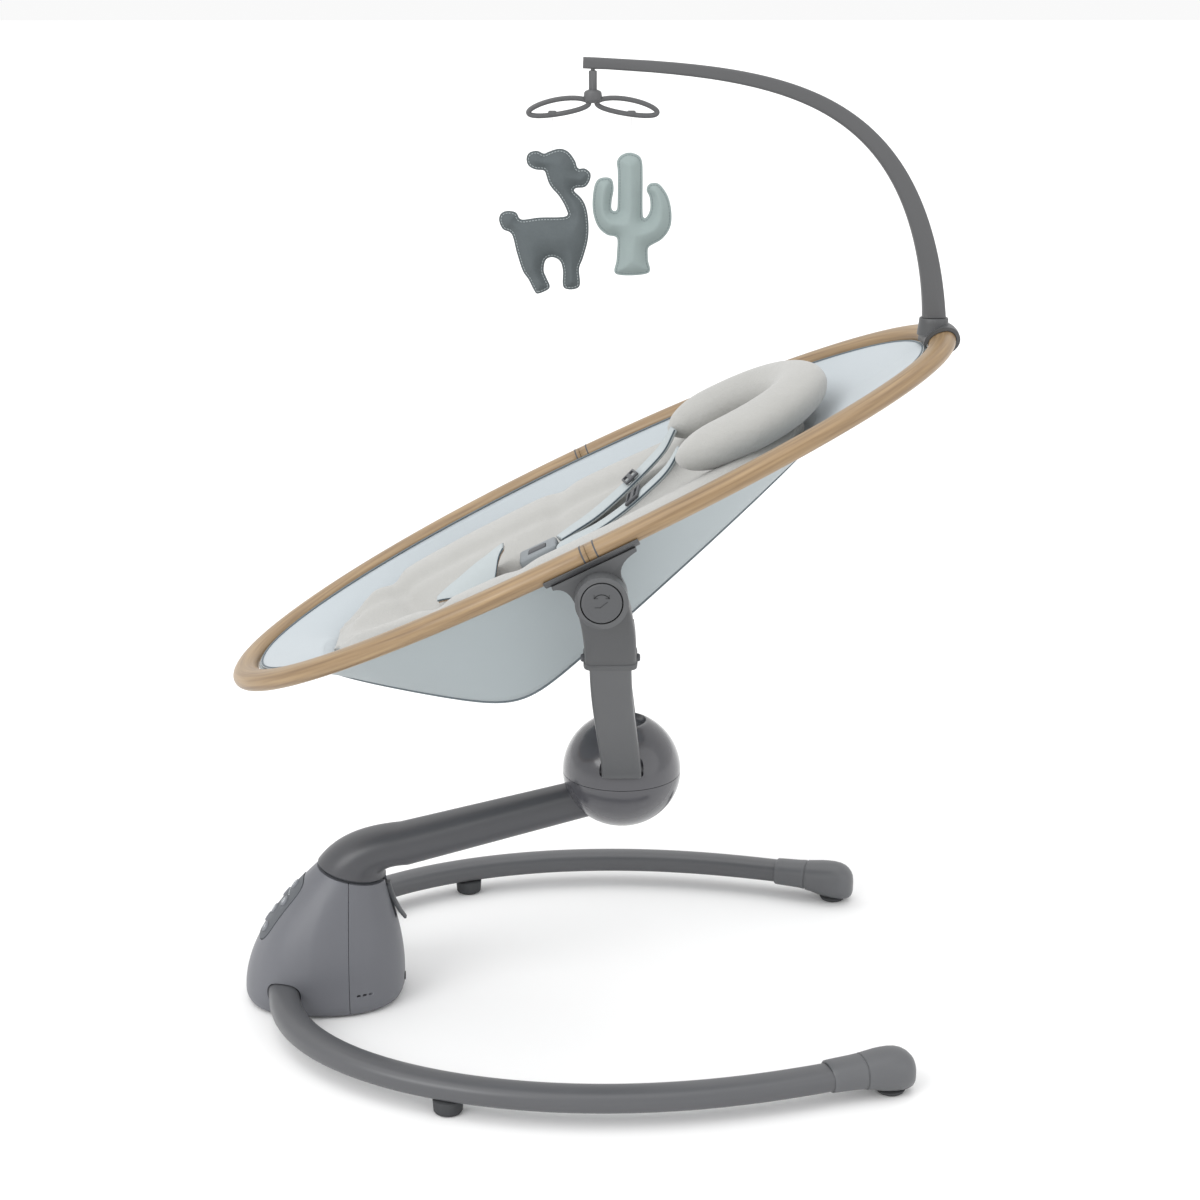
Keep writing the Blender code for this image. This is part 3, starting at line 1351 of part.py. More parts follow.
BUTTON_RADIUS = 0.0062
BUTTON_TRAVEL = 0.0012
buttons = (
    ("button_power", 0.0, 0.029),
    ("button_speed", -0.0125, 0.010),
    ("button_timer", 0.0125, 0.010),
    ("button_music", 0.0, -0.009),
    ("button_volume_down", -0.0135, -0.028),
    ("button_volume_up", 0.0135, -0.028),
)
BUTTON_STEM = 0.0075
for name, x, along in buttons:
    spot, slope = on_hub(x, along)
    axis = axis_at(f"{name}_axis", spot, turn=slope.to_track_quat("Z", "Y").to_matrix().to_4x4())
    hole = as_cutter(
        rod(f"{name}_hole", BUTTON_RADIUS + GAP, spot - slope * 0.02, spot + slope * 0.01, 20)
    )
    cut(control_panel, hole)
    key = turned(
        name,
        (
            (0.0, 0.0026),
            (BUTTON_RADIUS * 0.75, 0.0024),
            (BUTTON_RADIUS, 0.0016),
            (BUTTON_RADIUS, -BUTTON_STEM),
            (0.0, -BUTTON_STEM),
        ),
        20,
    )
    finish(key, MID_GREY, axis)

BOARD_WIDTH = 0.050
BOARD_LENGTH = 0.074
BOARD_THICKNESS = 0.0016
board = block("control_board", (BOARD_WIDTH, BOARD_LENGTH, BOARD_THICKNESS), (0, 0, 0))
# the board lies under the pressed keys, and its corners clear the shell that falls away round them
corner_falls = [
    (PANEL_MIDDLE - on_hub(x, along)[0]).dot(hub_panel_n)
    for x in (-BOARD_WIDTH / 2, BOARD_WIDTH / 2)
    for along in (-BOARD_LENGTH / 2, BOARD_LENGTH / 2)
]
under_keys = BUTTON_STEM + BUTTON_TRAVEL + 0.0072
under_shell = max(corner_falls) + HUB_WALL + BOARD_THICKNESS / 2 + 0.0020
board_depth = max(under_keys, under_shell)
board_frame = Matrix.Translation(PANEL_MIDDLE - hub_panel_n * board_depth)
moved(board, board_frame @ panel_turn)
finish(control_panel, DARK_GREY)
finish(board, BOARD)

# lock lever in a slot at the hub's rear
LEVER_Z = 0.130
rear_spot, _, _, _ = hub_tree.ray_cast(Vector((0, 0.0, LEVER_Z)), Vector((0, -1, 0)))
lever_slot = as_cutter(
    block("lever_slot", (0.0128, 0.040, 0.050), (0, rear_spot.y - 0.010 + 0.012, LEVER_Z - 0.013))
)
cut(hub_outer_rear, lever_slot)
lever_axis = axis_at("lock_lever_axis", (0, rear_spot.y, LEVER_Z))
lock_lever = loft(
    "swing_lock_lever",
    [
        oval((0, 0.0005, 0.0055), (0.0055, 0, 0), (0, 0.0022, 0), 4.0, 12),
        oval((0, 0.0020, -0.0040), (0.0055, 0, 0), (0, 0.0032, 0), 4.0, 12),
        oval((0, 0.0065, -0.0170), (0.0055, 0, 0), (0, 0.0024, 0), 4.0, 12),
        oval((0, 0.0130, -0.0300), (0.0055, 0, 0), (0, 0.0020, 0), 4.0, 12),
        oval((0, 0.0190, -0.0385), (0.0050, 0, 0), (0, 0.0014, 0), 4.0, 12),
    ],
)
lever_pin = rod("lever_pin", 0.0018, (-0.0062, 0.0, 0.001), (0.0062, 0.0, 0.001), 12)
join(lock_lever, as_cutter(lever_pin, lever_axis))
finish(lock_lever, DARK_GREY, lever_axis)

# low-voltage inlet low at the rear
inlet_y = HUB_BASE_Y + HUB_BASE_LENGTH / 2
INLET_RADIUS = 0.0050
INLET_Z = 0.0180


def inlet_rod(name, radius, back, front):
    return rod(name, radius, (0, inlet_y - back, INLET_Z), (0, inlet_y + front, INLET_Z), 20)


inlet = inlet_rod("power_inlet", INLET_RADIUS, 0.012, 0.0012)
cut(inlet, as_cutter(inlet_rod("inlet_bore", 0.0026, 0.009, 0.01)))
cut(hub_outer_rear, as_cutter(inlet_rod("inlet_hole", INLET_RADIUS + GAP, 0.03, 0.02)))
finish(inlet, RUBBER)

finish(hub_outer_front, GREY)
finish(hub_outer_rear, GREY)
finish(base_plate, DARK_GREY)

# ---- legs, feet and pads --------------------------------------------------------------------------

for word, side in SIDES.items():
    points = leg_path(side)
    leg = leg_solid(f"leg_{word}", side, 0.0, 0, LEG_LAST)
    finish(leg, GREY)
    spot = mix(points[7], points[8], 0.5)
    leg_bottom = LEG_CENTRE - LEG_HEIGHT / 2
    pad_top = (spot.x, spot.y, leg_bottom - GAP)
    pad = rod(f"leg_pad_{word}", PAD_RADIUS - 0.001, (spot.x, spot.y, 0), pad_top, 24, PAD_RADIUS)
    finish(pad, RUBBER)
    # shoe over the leg's end: a sleeve that swells into a round nose
    ahead = (points[-1] - points[-4]).normalized()
    across = Vector((ahead.y, -ahead.x, 0))
    tip = points[-1]
    shoe = []
    for back, wide, low, high in (
        (1.00, 0.0190, 0.0138, 0.0435),
        (0.97, 0.0198, 0.0130, 0.0443),
        (0.70, 0.0206, 0.0120, 0.0452),
        (0.50, 0.0222, 0.0095, 0.0468),
        (0.36, 0.0240, 0.0052, 0.0480),
        (0.22, 0.0240, 0.0030, 0.0478),
        (0.10, 0.0200, 0.0032, 0.0440),
        (0.03, 0.0130, 0.0060, 0.0370),
        (0.00, 0.0060, 0.0110, 0.0290),
    ):
        centre = tip - ahead * FOOT_LENGTH * back
        centre.z = (low + high) / 2
        shoe.append(oval(centre, across * wide, (0, 0, (high - low) / 2), 2.3, 20))
    foot = loft(f"foot_{word}", shoe)
    leg_room = as_cutter(leg_solid(f"leg_room_{word}", side, GAP, 10, LEG_LAST))
    end_room = points[LEG_LAST] + (points[LEG_LAST] - points[LEG_LAST - 1]).normalized() * 0.0006
    join(leg_room, as_cutter(rod(f"leg_room_end_{word}", 0.006, points[LEG_LAST], end_room, 12)))
    cut(foot, leg_room)
    sole_centre = tip - ahead * FOOT_LENGTH * 0.26
    sole_low = Vector((sole_centre.x, sole_centre.y, 0))
    sole_top = sole_low + Vector((0, 0, SOLE_HEIGHT))
    under = Vector((0, 0, 0.01))
    room_top = sole_top + Vector((0, 0, GAP))
    room = rod(f"sole_room_{word}", PAD_RADIUS + GAP, sole_low - under, room_top, 24)
    cut(foot, as_cutter(room))
    finish(foot, MID_GREY)
    sole = rod(f"foot_pad_{word}", PAD_RADIUS - 0.001, sole_low, sole_top, 24, PAD_RADIUS)
    finish(sole, RUBBER)
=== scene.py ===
"""Infant swing, finished for looks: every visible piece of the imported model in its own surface.

Metres, +Z up, floor at Z = 0, foot end of the seat towards -Y, the child's left towards +X.
"""
import math

import bmesh
import bpy
from mathutils import Matrix, Vector
from mathutils.bvhtree import BVHTree


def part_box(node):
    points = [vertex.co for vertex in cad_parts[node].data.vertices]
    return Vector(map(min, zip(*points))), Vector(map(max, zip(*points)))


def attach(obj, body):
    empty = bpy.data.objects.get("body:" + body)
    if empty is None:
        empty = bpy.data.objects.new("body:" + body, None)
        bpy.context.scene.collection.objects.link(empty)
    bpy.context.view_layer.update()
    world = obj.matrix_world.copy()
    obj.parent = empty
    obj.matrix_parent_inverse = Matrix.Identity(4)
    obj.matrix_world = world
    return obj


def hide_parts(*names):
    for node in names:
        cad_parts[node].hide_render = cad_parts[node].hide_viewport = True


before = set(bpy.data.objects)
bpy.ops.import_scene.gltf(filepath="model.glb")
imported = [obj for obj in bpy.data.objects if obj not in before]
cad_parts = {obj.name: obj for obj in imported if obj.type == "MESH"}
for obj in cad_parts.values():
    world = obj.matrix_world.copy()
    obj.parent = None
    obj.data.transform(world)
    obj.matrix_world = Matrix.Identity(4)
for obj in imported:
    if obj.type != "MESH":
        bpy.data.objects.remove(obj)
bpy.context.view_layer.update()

# ---- camera, light and floor --------------------------------------------------------------------
# The swing is seen from its left side, a little above the seat's rail. Broad soft light comes
# from the foot end's side, less from above and behind the head, on a plain pale floor.

view_pitch = 0.2871
view_yaw = 0.0206
lens = bpy.data.cameras.new("camera")
lens.lens = 63
lens.sensor_width = 36
camera = bpy.data.objects.new("camera", lens)
camera.location = (2.2034, -0.0316, 1.1181)
looking = Vector((-math.cos(view_yaw), math.sin(view_yaw), -math.tan(view_pitch)))
camera.rotation_euler = looking.to_track_quat("-Z", "Y").to_euler()
bpy.context.scene.collection.objects.link(camera)
bpy.context.scene.camera = camera
bpy.context.scene.view_settings.view_transform = "Standard"

for name, aim, spread, power in (
    ("foot_light", (-0.55, 0.62, -0.62), 35, 1.05),
    ("head_light", (-0.50, -0.80, -0.45), 50, 0.32),
    ("top_light", (0.05, 0.10, -1.00), 70, 0.80),
):
    lamp = bpy.data.lights.new(name, "SUN")
    lamp.angle = math.radians(spread)
    lamp.energy = power
    lamp_object = bpy.data.objects.new(name, lamp)
    lamp_object.rotation_euler = Vector(aim).to_track_quat("-Z", "Y").to_euler()
    bpy.context.scene.collection.objects.link(lamp_object)

room = bpy.data.worlds.new("room")
room.use_nodes = True
room.node_tree.nodes["Background"].inputs["Color"].default_value = (1.0, 1.0, 1.0, 1)
room.node_tree.nodes["Background"].inputs["Strength"].default_value = 0.95
bpy.context.scene.world = room


def put(tree, kind, values=(), **settings):
    """A shader node with its settings; a value may be another node's output."""
    node = tree.nodes.new(kind)
    for word, value in settings.items():
        setattr(node, word, value)
    for word, value in dict(values).items():
        if isinstance(value, bpy.types.NodeSocket):
            tree.links.new(value, node.inputs[word])
        else:
            node.inputs[word].default_value = value
    return node


def new_finish(name, roughness=0.5, **constants):
    """A material with its shader, and the constants set on the shader's own sockets."""
    material = bpy.data.materials.new(name)
    material.use_nodes = True
    tree = material.node_tree
    shader = tree.nodes["Principled BSDF"]
    shader.inputs["Roughness"].default_value = roughness
    for word, value in constants.items():
        shader.inputs[word.replace("_", " ")].default_value = value
    return material, tree, shader


floor_finish, tree, shader = new_finish("floor_paint", 0.9)
blotch = put(tree, "ShaderNodeTexNoise", {"Scale": 1.5})
tone = put(tree, "ShaderNodeMapRange", {"Value": blotch.outputs[0], "To Min": 0.985, "To Max": 1.0})
paint = put(tree, "ShaderNodeHueSaturation", {"Color": (0.93, 0.93, 0.93, 1), "Value": tone.outputs[0]})
tree.links.new(paint.outputs[0], shader.inputs["Base Color"])
floor_half = 60
floor_mesh = bpy.data.meshes.new("floor")
floor_mesh.from_pydata(
    [(x * floor_half, y * floor_half, -0.0005) for x, y in ((-1, -1), (1, -1), (1, 1), (-1, 1))],
    [],
    [(0, 1, 2, 3)],
)
floor = bpy.data.objects.new("floor", floor_mesh)
floor_mesh.materials.append(floor_finish)
bpy.context.scene.collection.objects.link(floor)

# ---- hub shells ---------------------------------------------------------------------------------
# Two bell-shaped half shells, moulded in mid-grey plastic with a fine spark-eroded skin, meet on
# a seam across the neck. A flat facet runs from the neck down to each leg, whose mouth is cut
# through both shells; four slots a side let the sound out, and the front slope takes the keypad.

neck = Vector((0, -0.268, 0.151))
swing_lean = math.radians(13.0)
swing_axis = Vector((0, math.sin(swing_lean), math.cos(swing_lean)))
sides = {"left": 1, "right": -1}


def skin_group():
    """Moulded plastic: broad tone, fine grain, edges rubbed a little paler."""
    group = bpy.data.node_groups.new("moulded_skin", "ShaderNodeTree")
    for word, kind, default in (
        ("Colour", "NodeSocketColor", (0.1, 0.1, 0.1, 1)),
        ("Grain", "NodeSocketFloat", 900.0),
        ("Roughness", "NodeSocketFloat", 0.45),
        ("Wear", "NodeSocketFloat", 0.25),
    ):
        group.interface.new_socket(word, in_out="INPUT", socket_type=kind).default_value = default
    for word, kind in (
        ("Colour", "NodeSocketColor"),
        ("Roughness", "NodeSocketFloat"),
        ("Height", "NodeSocketFloat"),
    ):
        group.interface.new_socket(word, in_out="OUTPUT", socket_type=kind)
    given = group.nodes.new("NodeGroupInput").outputs
    spot = put(group, "ShaderNodeTexCoord").outputs["Object"]
    broad = put(group, "ShaderNodeTexNoise", {"Vector": spot, "Scale": 11.0, "Detail": 3.0})
    fine = put(group, "ShaderNodeTexNoise", {"Vector": spot, "Scale": given["Grain"], "Detail": 2.0})
    tone = put(group, "ShaderNodeMapRange", {"Value": broad.outputs[0], "To Min": 0.93, "To Max": 1.07})
    edge = put(
        group,
        "ShaderNodeMapRange",
        {
            "Value": put(group, "ShaderNodeNewGeometry").outputs["Pointiness"],
            "From Min": 0.52,
            "From Max": 0.60,
            "To Max": given["Wear"],
        },
    )
    value = put(group, "ShaderNodeMath", operation="ADD")
    group.links.new(tone.outputs[0], value.inputs[0])
    group.links.new(edge.outputs[0], value.inputs[1])
    colour = put(
        group, "ShaderNodeHueSaturation", {"Color": given["Colour"], "Value": value.outputs[0]}
    )
    rough = put(group, "ShaderNodeMapRange", {"Value": fine.outputs[0], "To Min": -0.06, "To Max": 0.06})
    rough_sum = put(group, "ShaderNodeMath", operation="ADD")
    group.links.new(rough.outputs[0], rough_sum.inputs[0])
    group.links.new(given["Roughness"], rough_sum.inputs[1])
    result = group.nodes.new("NodeGroupOutput").inputs
    group.links.new(colour.outputs[0], result["Colour"])
    group.links.new(rough_sum.outputs[0], result["Roughness"])
    group.links.new(fine.outputs[0], result["Height"])
    return group


moulded_skin = skin_group()


def skinned(name, group, colour, bump=0.12, distance=0.0004, values=(), **constants):
    """A finish whose colour, roughness and height come from one of the surface groups."""
    material, tree, shader = new_finish(name, **constants)
    made = put(tree, "ShaderNodeGroup", node_tree=group)
    made.inputs["Colour"].default_value = (*colour, 1)
    for word, value in dict(values).items():
        made.inputs[word].default_value = value
    relief = put(
        tree,
        "ShaderNodeBump",
        {"Height": made.outputs["Height"], "Strength": bump, "Distance": distance},
    )
    tree.links.new(made.outputs["Colour"], shader.inputs["Base Color"])
    tree.links.new(relief.outputs[0], shader.inputs["Normal"])
    if "Roughness" in made.outputs:
        tree.links.new(made.outputs["Roughness"], shader.inputs["Roughness"])
    return material


hub_grey = (0.128, 0.132, 0.147)
grey_finish = skinned("grey_moulding", moulded_skin, hub_grey, values={"Roughness": 0.42})


def mix(a, b, share):
    return a + (b - a) * share


def bezier(points, share):
    """A point on the Bezier curve of any number of control points."""
    points = [Vector(point) for point in points]
    while len(points) > 1:
        points = [mix(a, b, share) for a, b in zip(points, points[1:])]
    return points[0]


def oval(centre, first, second, power=2.0, count=48):
    """Points round a rounded section: half-axes as two vectors."""
    points = []
    for i in range(count):
        angle = 2 * math.pi * i / count
        c = math.cos(angle)
        s = math.sin(angle)
        a = math.copysign(abs(c) ** (2 / power), c)
        b = math.copysign(abs(s) ** (2 / power), s)
        points.append(Vector(centre) + Vector(first) * a + Vector(second) * b)
    return points


def shaped(name, bm, smooth=True):
    """An object from a bmesh, its faces turned outwards."""
    bmesh.ops.remove_doubles(bm, verts=bm.verts, dist=0.000002)
    bmesh.ops.recalc_face_normals(bm, faces=bm.faces)
    for face in bm.faces:
        face.smooth = smooth
    mesh = bpy.data.meshes.new(name)
    bm.to_mesh(mesh)
    bm.free()
    obj = bpy.data.objects.new(name, mesh)
    bpy.context.scene.collection.objects.link(obj)
    return obj


def loft(name, sections, ring=False, smooth=True):
    """Skins sections of equal point count; the ends are closed, or joined in a ring."""
    bm = bmesh.new()
    rows = [[bm.verts.new(point) for point in section] for section in sections]
    count = len(rows[0])
    pairs = list(zip(rows, rows[1:]))
    if ring:
        pairs.append((rows[-1], rows[0]))
    for lower, upper in pairs:
        for i in range(count):
            j = (i + 1) % count
            bm.faces.new((lower[i], lower[j], upper[j], upper[i]))
    if not ring:
        bm.faces.new(rows[0])
        bm.faces.new(rows[-1])
    return shaped(name, bm, smooth)


def block(name, size, centre, rounding=0.0, steps=4):
    """A box with rounded edges, for cutting or for small pieces."""
    bm = bmesh.new()
    bmesh.ops.create_cube(bm, size=1.0)
    bmesh.ops.scale(bm, vec=size, verts=bm.verts)
    if rounding:
        bmesh.ops.bevel(
            bm, geom=list(bm.edges), offset=rounding, segments=steps, affect="EDGES", profile=0.5
        )
    bmesh.ops.translate(bm, vec=centre, verts=bm.verts)
    return shaped(name, bm, False)


def rod(name, radius, start, end, count=64, end_radius=None):
    """A straight round bar between two points."""
    start = Vector(start)
    along = Vector(end) - start
    first = along.orthogonal().normalized()
    second = along.cross(first).normalized()
    far = radius if end_radius is None else end_radius
    near_ring = oval(start, first * radius, second * radius, 2.0, count)
    far_ring = oval(Vector(end), first * far, second * far, 2.0, count)
    return loft(name, [near_ring, far_ring])


def carve(obj, others, operation="DIFFERENCE"):
    """Cuts the other shapes out of a piece, or joins them to it, and uses them up."""
    for other in others:
        step = obj.modifiers.new(other.name, "BOOLEAN")
        step.operation = operation
        step.solver = "EXACT"
        step.object = other
    graph = bpy.context.evaluated_depsgraph_get()
    mesh = bpy.data.meshes.new_from_object(obj.evaluated_get(graph))
    obj.modifiers.clear()
    obj.data = mesh
    for other in others:
        bpy.data.objects.remove(other, do_unlink=True)
    return obj


def eased(obj, width, angle=32, segments=2):
    """Rounds a moulding's sharp edges and keeps its broad faces smooth."""
    bm = bmesh.new()
    bm.from_mesh(obj.data)
    bmesh.ops.remove_doubles(bm, verts=bm.verts, dist=0.00001)
    bmesh.ops.dissolve_limit(
        bm, angle_limit=math.radians(0.8), verts=bm.verts, edges=bm.edges, delimit={"NORMAL"}
    )
    bm.to_mesh(obj.data)
    bm.free()
    obj.data.shade_smooth()
    obj.data.set_sharp_from_angle(angle=math.radians(angle))
    step = obj.modifiers.new("eased_edge", "BEVEL")
    step.width = width
    step.segments = segments
    step.limit_method = "ANGLE"
    step.angle_limit = math.radians(angle)
    step.harden_normals = True
    step.miter_outer = "MITER_ARC"
    return obj


def settle(obj, body, material, slot, *nodes):
    """Gives a piece its finish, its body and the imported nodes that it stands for."""
    obj.data.materials.clear()
    obj.data.materials.append(material)
    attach(obj, body)
    if nodes:
        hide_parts(*nodes)
    return obj


hub_base_y = -0.302
hub_half_length = 0.0905
hub_half_width = 0.074
neck_radius = 0.0395
facet_height = 0.0030


def crease(angle, at, reach):
    return max(0.0, 1 - abs(angle - at) / reach)


def hub_section(share, inset, count=112):
    """One ring of the hub, share 0 at the floor and 1 at the neck."""
    swell = math.cos(math.pi / 2 * max(0.0, (share - 0.10) / 0.90))
    tuck = 0.0035 * max(0.0, 1 - share / 0.07) ** 2
    half_length = mix(neck_radius, hub_half_length, swell) - inset - tuck
    half_width = mix(neck_radius, hub_half_width, swell) - inset - tuck
    centre = Vector((0, mix(hub_base_y, neck.y, share**2), mix(0.003, neck.z - 0.0012, share)))
    lean = swing_lean * share**3
    along = Vector((0, math.cos(lean), -math.sin(lean)))
    ring = oval(centre, (half_width, 0, 0), along * half_length, mix(2.35, 2.0, share), count)
    lift = facet_height * math.sin(math.pi * min(1.0, share * 1.05)) ** 0.8
    for point in ring:
        angle = math.degrees(math.atan2(point.y - centre.y, abs(point.x)))
        bump = crease(angle, mix(-5, -24, share), 26) + crease(angle, mix(-30, -56, share), 24)
        out = Vector((point.x, point.y - centre.y, 0))
        if out.length:
            point += out.normalized() * lift * bump
    return ring


hub_shares = [i / 36 for i in range(37)]


def hub_solid(name, inset=0.0):
    return loft(name, [hub_section(share, inset) for share in hub_shares])


def hub_room(name):
    """The hollow inside the hub, open at the floor."""
    sections = [hub_section(share, 0.003) for share in hub_shares[:-1]]
    sections.insert(0, [point - Vector((0, 0, 0.01)) for point in sections[0]])
    sections.append([point - swing_axis * 0.003 for point in hub_section(1.0, 0.003)])
    return loft(name, sections)


leg_steps = 96
leg_half_width = 0.017
leg_half_height = 0.0125
leg_centre = 0.0285
base_front = 0.338


def leg_path(side):
    """The leg's centre line, from inside the hub round to the foot."""
    half = side * 0.300
    back = hub_base_y - 0.041
    sweep = ((0.187, 0.0), (0.517, 0.020), (0.863, 0.054), (1.337, 0.481), (0.910, 0.786), (0.777, 1.0))
    controls = [Vector((half * wide, mix(back, base_front, far), leg_centre)) for wide, far in sweep]
    return [bezier(controls, i / leg_steps) for i in range(leg_steps + 1)]


def leg_solid(name, side, extra, first, last):
    points = leg_path(side)
    sections = []
    for i in range(first, last + 1):
        ahead = points[min(i + 1, leg_steps)] - points[max(i - 1, 0)]
        across = Vector((ahead.y, -ahead.x, 0)).normalized() * (leg_half_width + extra)
        sections.append(oval(points[i], across, (0, 0, leg_half_height + extra), 2.6, 36))
    return loft(name, sections)


panel_normal = Vector((0, -0.818, 0.575)).normalized()
panel_up = Vector((0, 0.575, 0.818)).normalized()
hub_probe = hub_solid("hub_probe")
hub_tree = BVHTree.FromObject(hub_probe, bpy.context.evaluated_depsgraph_get())
bpy.data.objects.remove(hub_probe, do_unlink=True)
panel_middle = neck + Vector((0, -0.080, -0.042))


def on_hub(x, along):
    """The point of the hub's front under a spot of the keypad, and the slope there."""
    start = panel_middle + panel_up * along + panel_normal * 0.06 + Vector((x, 0, 0))
    spot, slope, _, _ = hub_tree.ray_cast(start, -panel_normal)
    return spot, slope


panel_middle, _ = on_hub(0, 0)


def panel_prism(name, extra):
    """A tapered, round-cornered prism square to the hub's front slope."""
    rows = []
    for height in (-0.030, 0.02):
        ring = []
        for point in oval((0, 0, 0), (0.031 + extra, 0, 0), (0, 0.043 + extra, 0), 4.0, 64):
            taper = mix(1.0, 0.80, point.y / 0.086 + 0.5)
            spot = panel_middle + panel_up * point.y + panel_normal * height
            ring.append(spot + Vector((point.x * taper, 0, 0)))
        rows.append(ring)
    return loft(name, rows)


seam_play = 0.0003
mouth_play = 0.0012
for name, sign in (("hub_front_shell", 1), ("hub_rear_shell", -1)):
    shell = hub_solid(f"{name}_look")
    beyond = block("beyond", (0.4, 0.3, 0.4), (0, neck.y + sign * (0.15 - seam_play), 0.1))
    cutters = [beyond, hub_room("room_inside")]
    cutters += [leg_solid(f"leg_mouth_{word}", side, mouth_play, 0, 30) for word, side in sides.items()]
    cutters.append(rod("spindle_hole", 0.014, neck - swing_axis * 0.02, neck + swing_axis * 0.02))
    if sign > 0:
        cutters.append(panel_prism("panel_opening", 0.0008))
    else:
        for word, side in sides.items():
            for i in range(4):
                slot_spot = (side * 0.075, neck.y + 0.010 + 0.0065 * i, 0.026)
                cutters.append(block(f"sound_slot_{word}_{i}", (0.03, 0.0040, 0.0024), slot_spot))
        lever_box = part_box("swing_lock_lever")
        lever_y = lever_box[0][1] - 0.004
        cutters.append(block("lever_slot", (0.0128, 0.040, 0.050), (0, lever_y + 0.012, 0.117)))
    carve(shell, cutters)
    eased(shell, 0.0006)
    settle(shell, "base", grey_finish, "grey_plastic", name)

# ---- keypad -------------------------------------------------------------------------------------
# A darker moulded panel set in the hub's front slope, with six round keys on stems. Each key
# carries a plain printed sign, and a row of five lamps shows the chosen speed.

panel_finish = skinned(
    "keypad_moulding", moulded_skin, (0.085, 0.092, 0.102), 0.35, values={"Grain": 420.0, "Roughness": 0.6}
)
key_finish = skinned(
    "key_moulding", moulded_skin, (0.16, 0.168, 0.185), values={"Roughness": 0.5, "Wear": 0.4}
)
print_finish = skinned(
    "printed_sign", moulded_skin, (0.62, 0.65, 0.67), 0.05, values={"Roughness": 0.6, "Wear": 0.0}
)
key_radius = 0.0062
keys = {
    "button_power": (0.0, 0.029),
    "button_speed": (-0.0125, 0.010),
    "button_timer": (0.0125, 0.010),
    "button_music": (0.0, -0.009),
    "button_volume_down": (-0.0135, -0.028),
    "button_volume_up": (0.0135, -0.028),
}
panel = hub_solid("keypad_panel", -0.0009)
carve(panel, [panel_prism("panel_edge", 0.0)], "INTERSECT")
key_holes = []
for name, (x, along) in keys.items():
    spot, slope = on_hub(x, along)
    key_holes.append(rod("key_hole", key_radius + 0.0004, spot - slope * 0.02, spot + slope * 0.01, 40))
carve(panel, [hub_room("panel_room"), *key_holes])
eased(panel, 0.0004)
settle(panel, "base", panel_finish, "dark_plastic", "control_panel")


def turned(name, profile, count=96):
    """A turned piece: (radius, height) pairs from the top down, spun about Z."""
    bm = bmesh.new()
    closed = profile[0][0] > 0
    rows = []
    for radius, height in profile:
        turn = range(count) if radius > 0 else range(1)
        rows.append(
            [
                bm.verts.new(
                    (
                        radius * math.cos(2 * math.pi * i / count),
                        radius * math.sin(2 * math.pi * i / count),
                        height,
                    )
                )
                for i in turn
            ]
        )
    pairs = list(zip(rows, rows[1:]))
    if closed:
        pairs.append((rows[-1], rows[0]))
    for upper, lower in pairs:
        for i in range(count):
            j = (i + 1) % count
            corners = [row[k % len(row)] for row, k in ((upper, i), (upper, j), (lower, j), (lower, i))]
            unique = list(dict.fromkeys(corners))
            if len(unique) > 2:
                bm.faces.new(unique)
    return shaped(name, bm)


def sign_mesh(name, strokes, frame_at):
    """A printed sign from strokes of points in millimetres, a hair proud of its key."""
    bm = bmesh.new()
    half = 0.00032
    for stroke in strokes:
        points = [Vector((x / 1000, y / 1000, 0)) for x, y in stroke]
        for start, end in zip(points, points[1:]):
            along = (end - start).normalized() * half
            across = Vector((-along.y, along.x, 0))
            low = [start - along + across, start - along - across, end + along - across, end + along + across]
            corners = [bm.verts.new(point) for point in low]
            tops = [bm.verts.new(point + Vector((0, 0, 0.00015))) for point in low]
            bm.faces.new(corners)
            bm.faces.new(tops)
            for i in range(4):
                j = (i + 1) % 4
                bm.faces.new((corners[i], corners[j], tops[j], tops[i]))
    bmesh.ops.transform(bm, matrix=frame_at, verts=bm.verts)
    bmesh.ops.recalc_face_normals(bm, faces=bm.faces)
    mesh = bpy.data.meshes.new(name)
    bm.to_mesh(mesh)
    bm.free()
    obj = bpy.data.objects.new(name, mesh)
    bpy.context.scene.collection.objects.link(obj)
    return obj


def arc(radius, start, end, count=12, centre=(0, 0)):
    """Points of a drawn arc, in degrees."""
    turns = [math.radians(mix(start, end, i / count)) for i in range(count + 1)]
    return [(centre[0] + radius * math.cos(t), centre[1] + radius * math.sin(t)) for t in turns]


signs = {
    "button_power": (arc(2.6, -240, 60), [(0, 1.2), (0, 3.4)]),
    "button_speed": ([(-3, -1), (-1.5, 1.2), (0, -1), (1.5, 1.2), (3, -1)],),
    "button_timer": (arc(2.8, 0, 360), [(0, 1.8), (0, 0), (1.4, 0)]),
    "button_music": ([(-1, -2), (-1, 2.4), (2, 1.6), (2, -2.6)], arc(0.7, 0, 360, 8, (-1.6, -2))),
    "button_volume_down": ([(-2.6, 0), (2.6, 0)],),
    "button_volume_up": ([(-2.6, 0), (2.6, 0)], [(0, -2.6), (0, 2.6)]),
}
for name, (x, along) in keys.items():
    spot, slope = on_hub(x, along)
    turn = slope.to_track_quat("Z", "Y").to_matrix().to_4x4()
    key_frame = Matrix.Translation(spot) @ turn
    key = turned(
        f"{name}_key",
        (
            (0, 0.0024),
            (key_radius * 0.55, 0.00245),
            (key_radius * 0.80, 0.0024),
            (key_radius * 0.95, 0.0019),
            (key_radius, 0.0012),
            (key_radius, -0.0075),
            (0, -0.0075),
        ),
        48,
    )
    key.data.transform(key_frame)
    body = name.replace("button_", "key_")
    settle(key, body, key_finish, "mid_plastic", name)
    sign = sign_mesh(f"{name}_sign", signs[name], key_frame @ Matrix.Translation((0, 0, 0.00242)))
    settle(sign, body, print_finish, "mid_plastic")

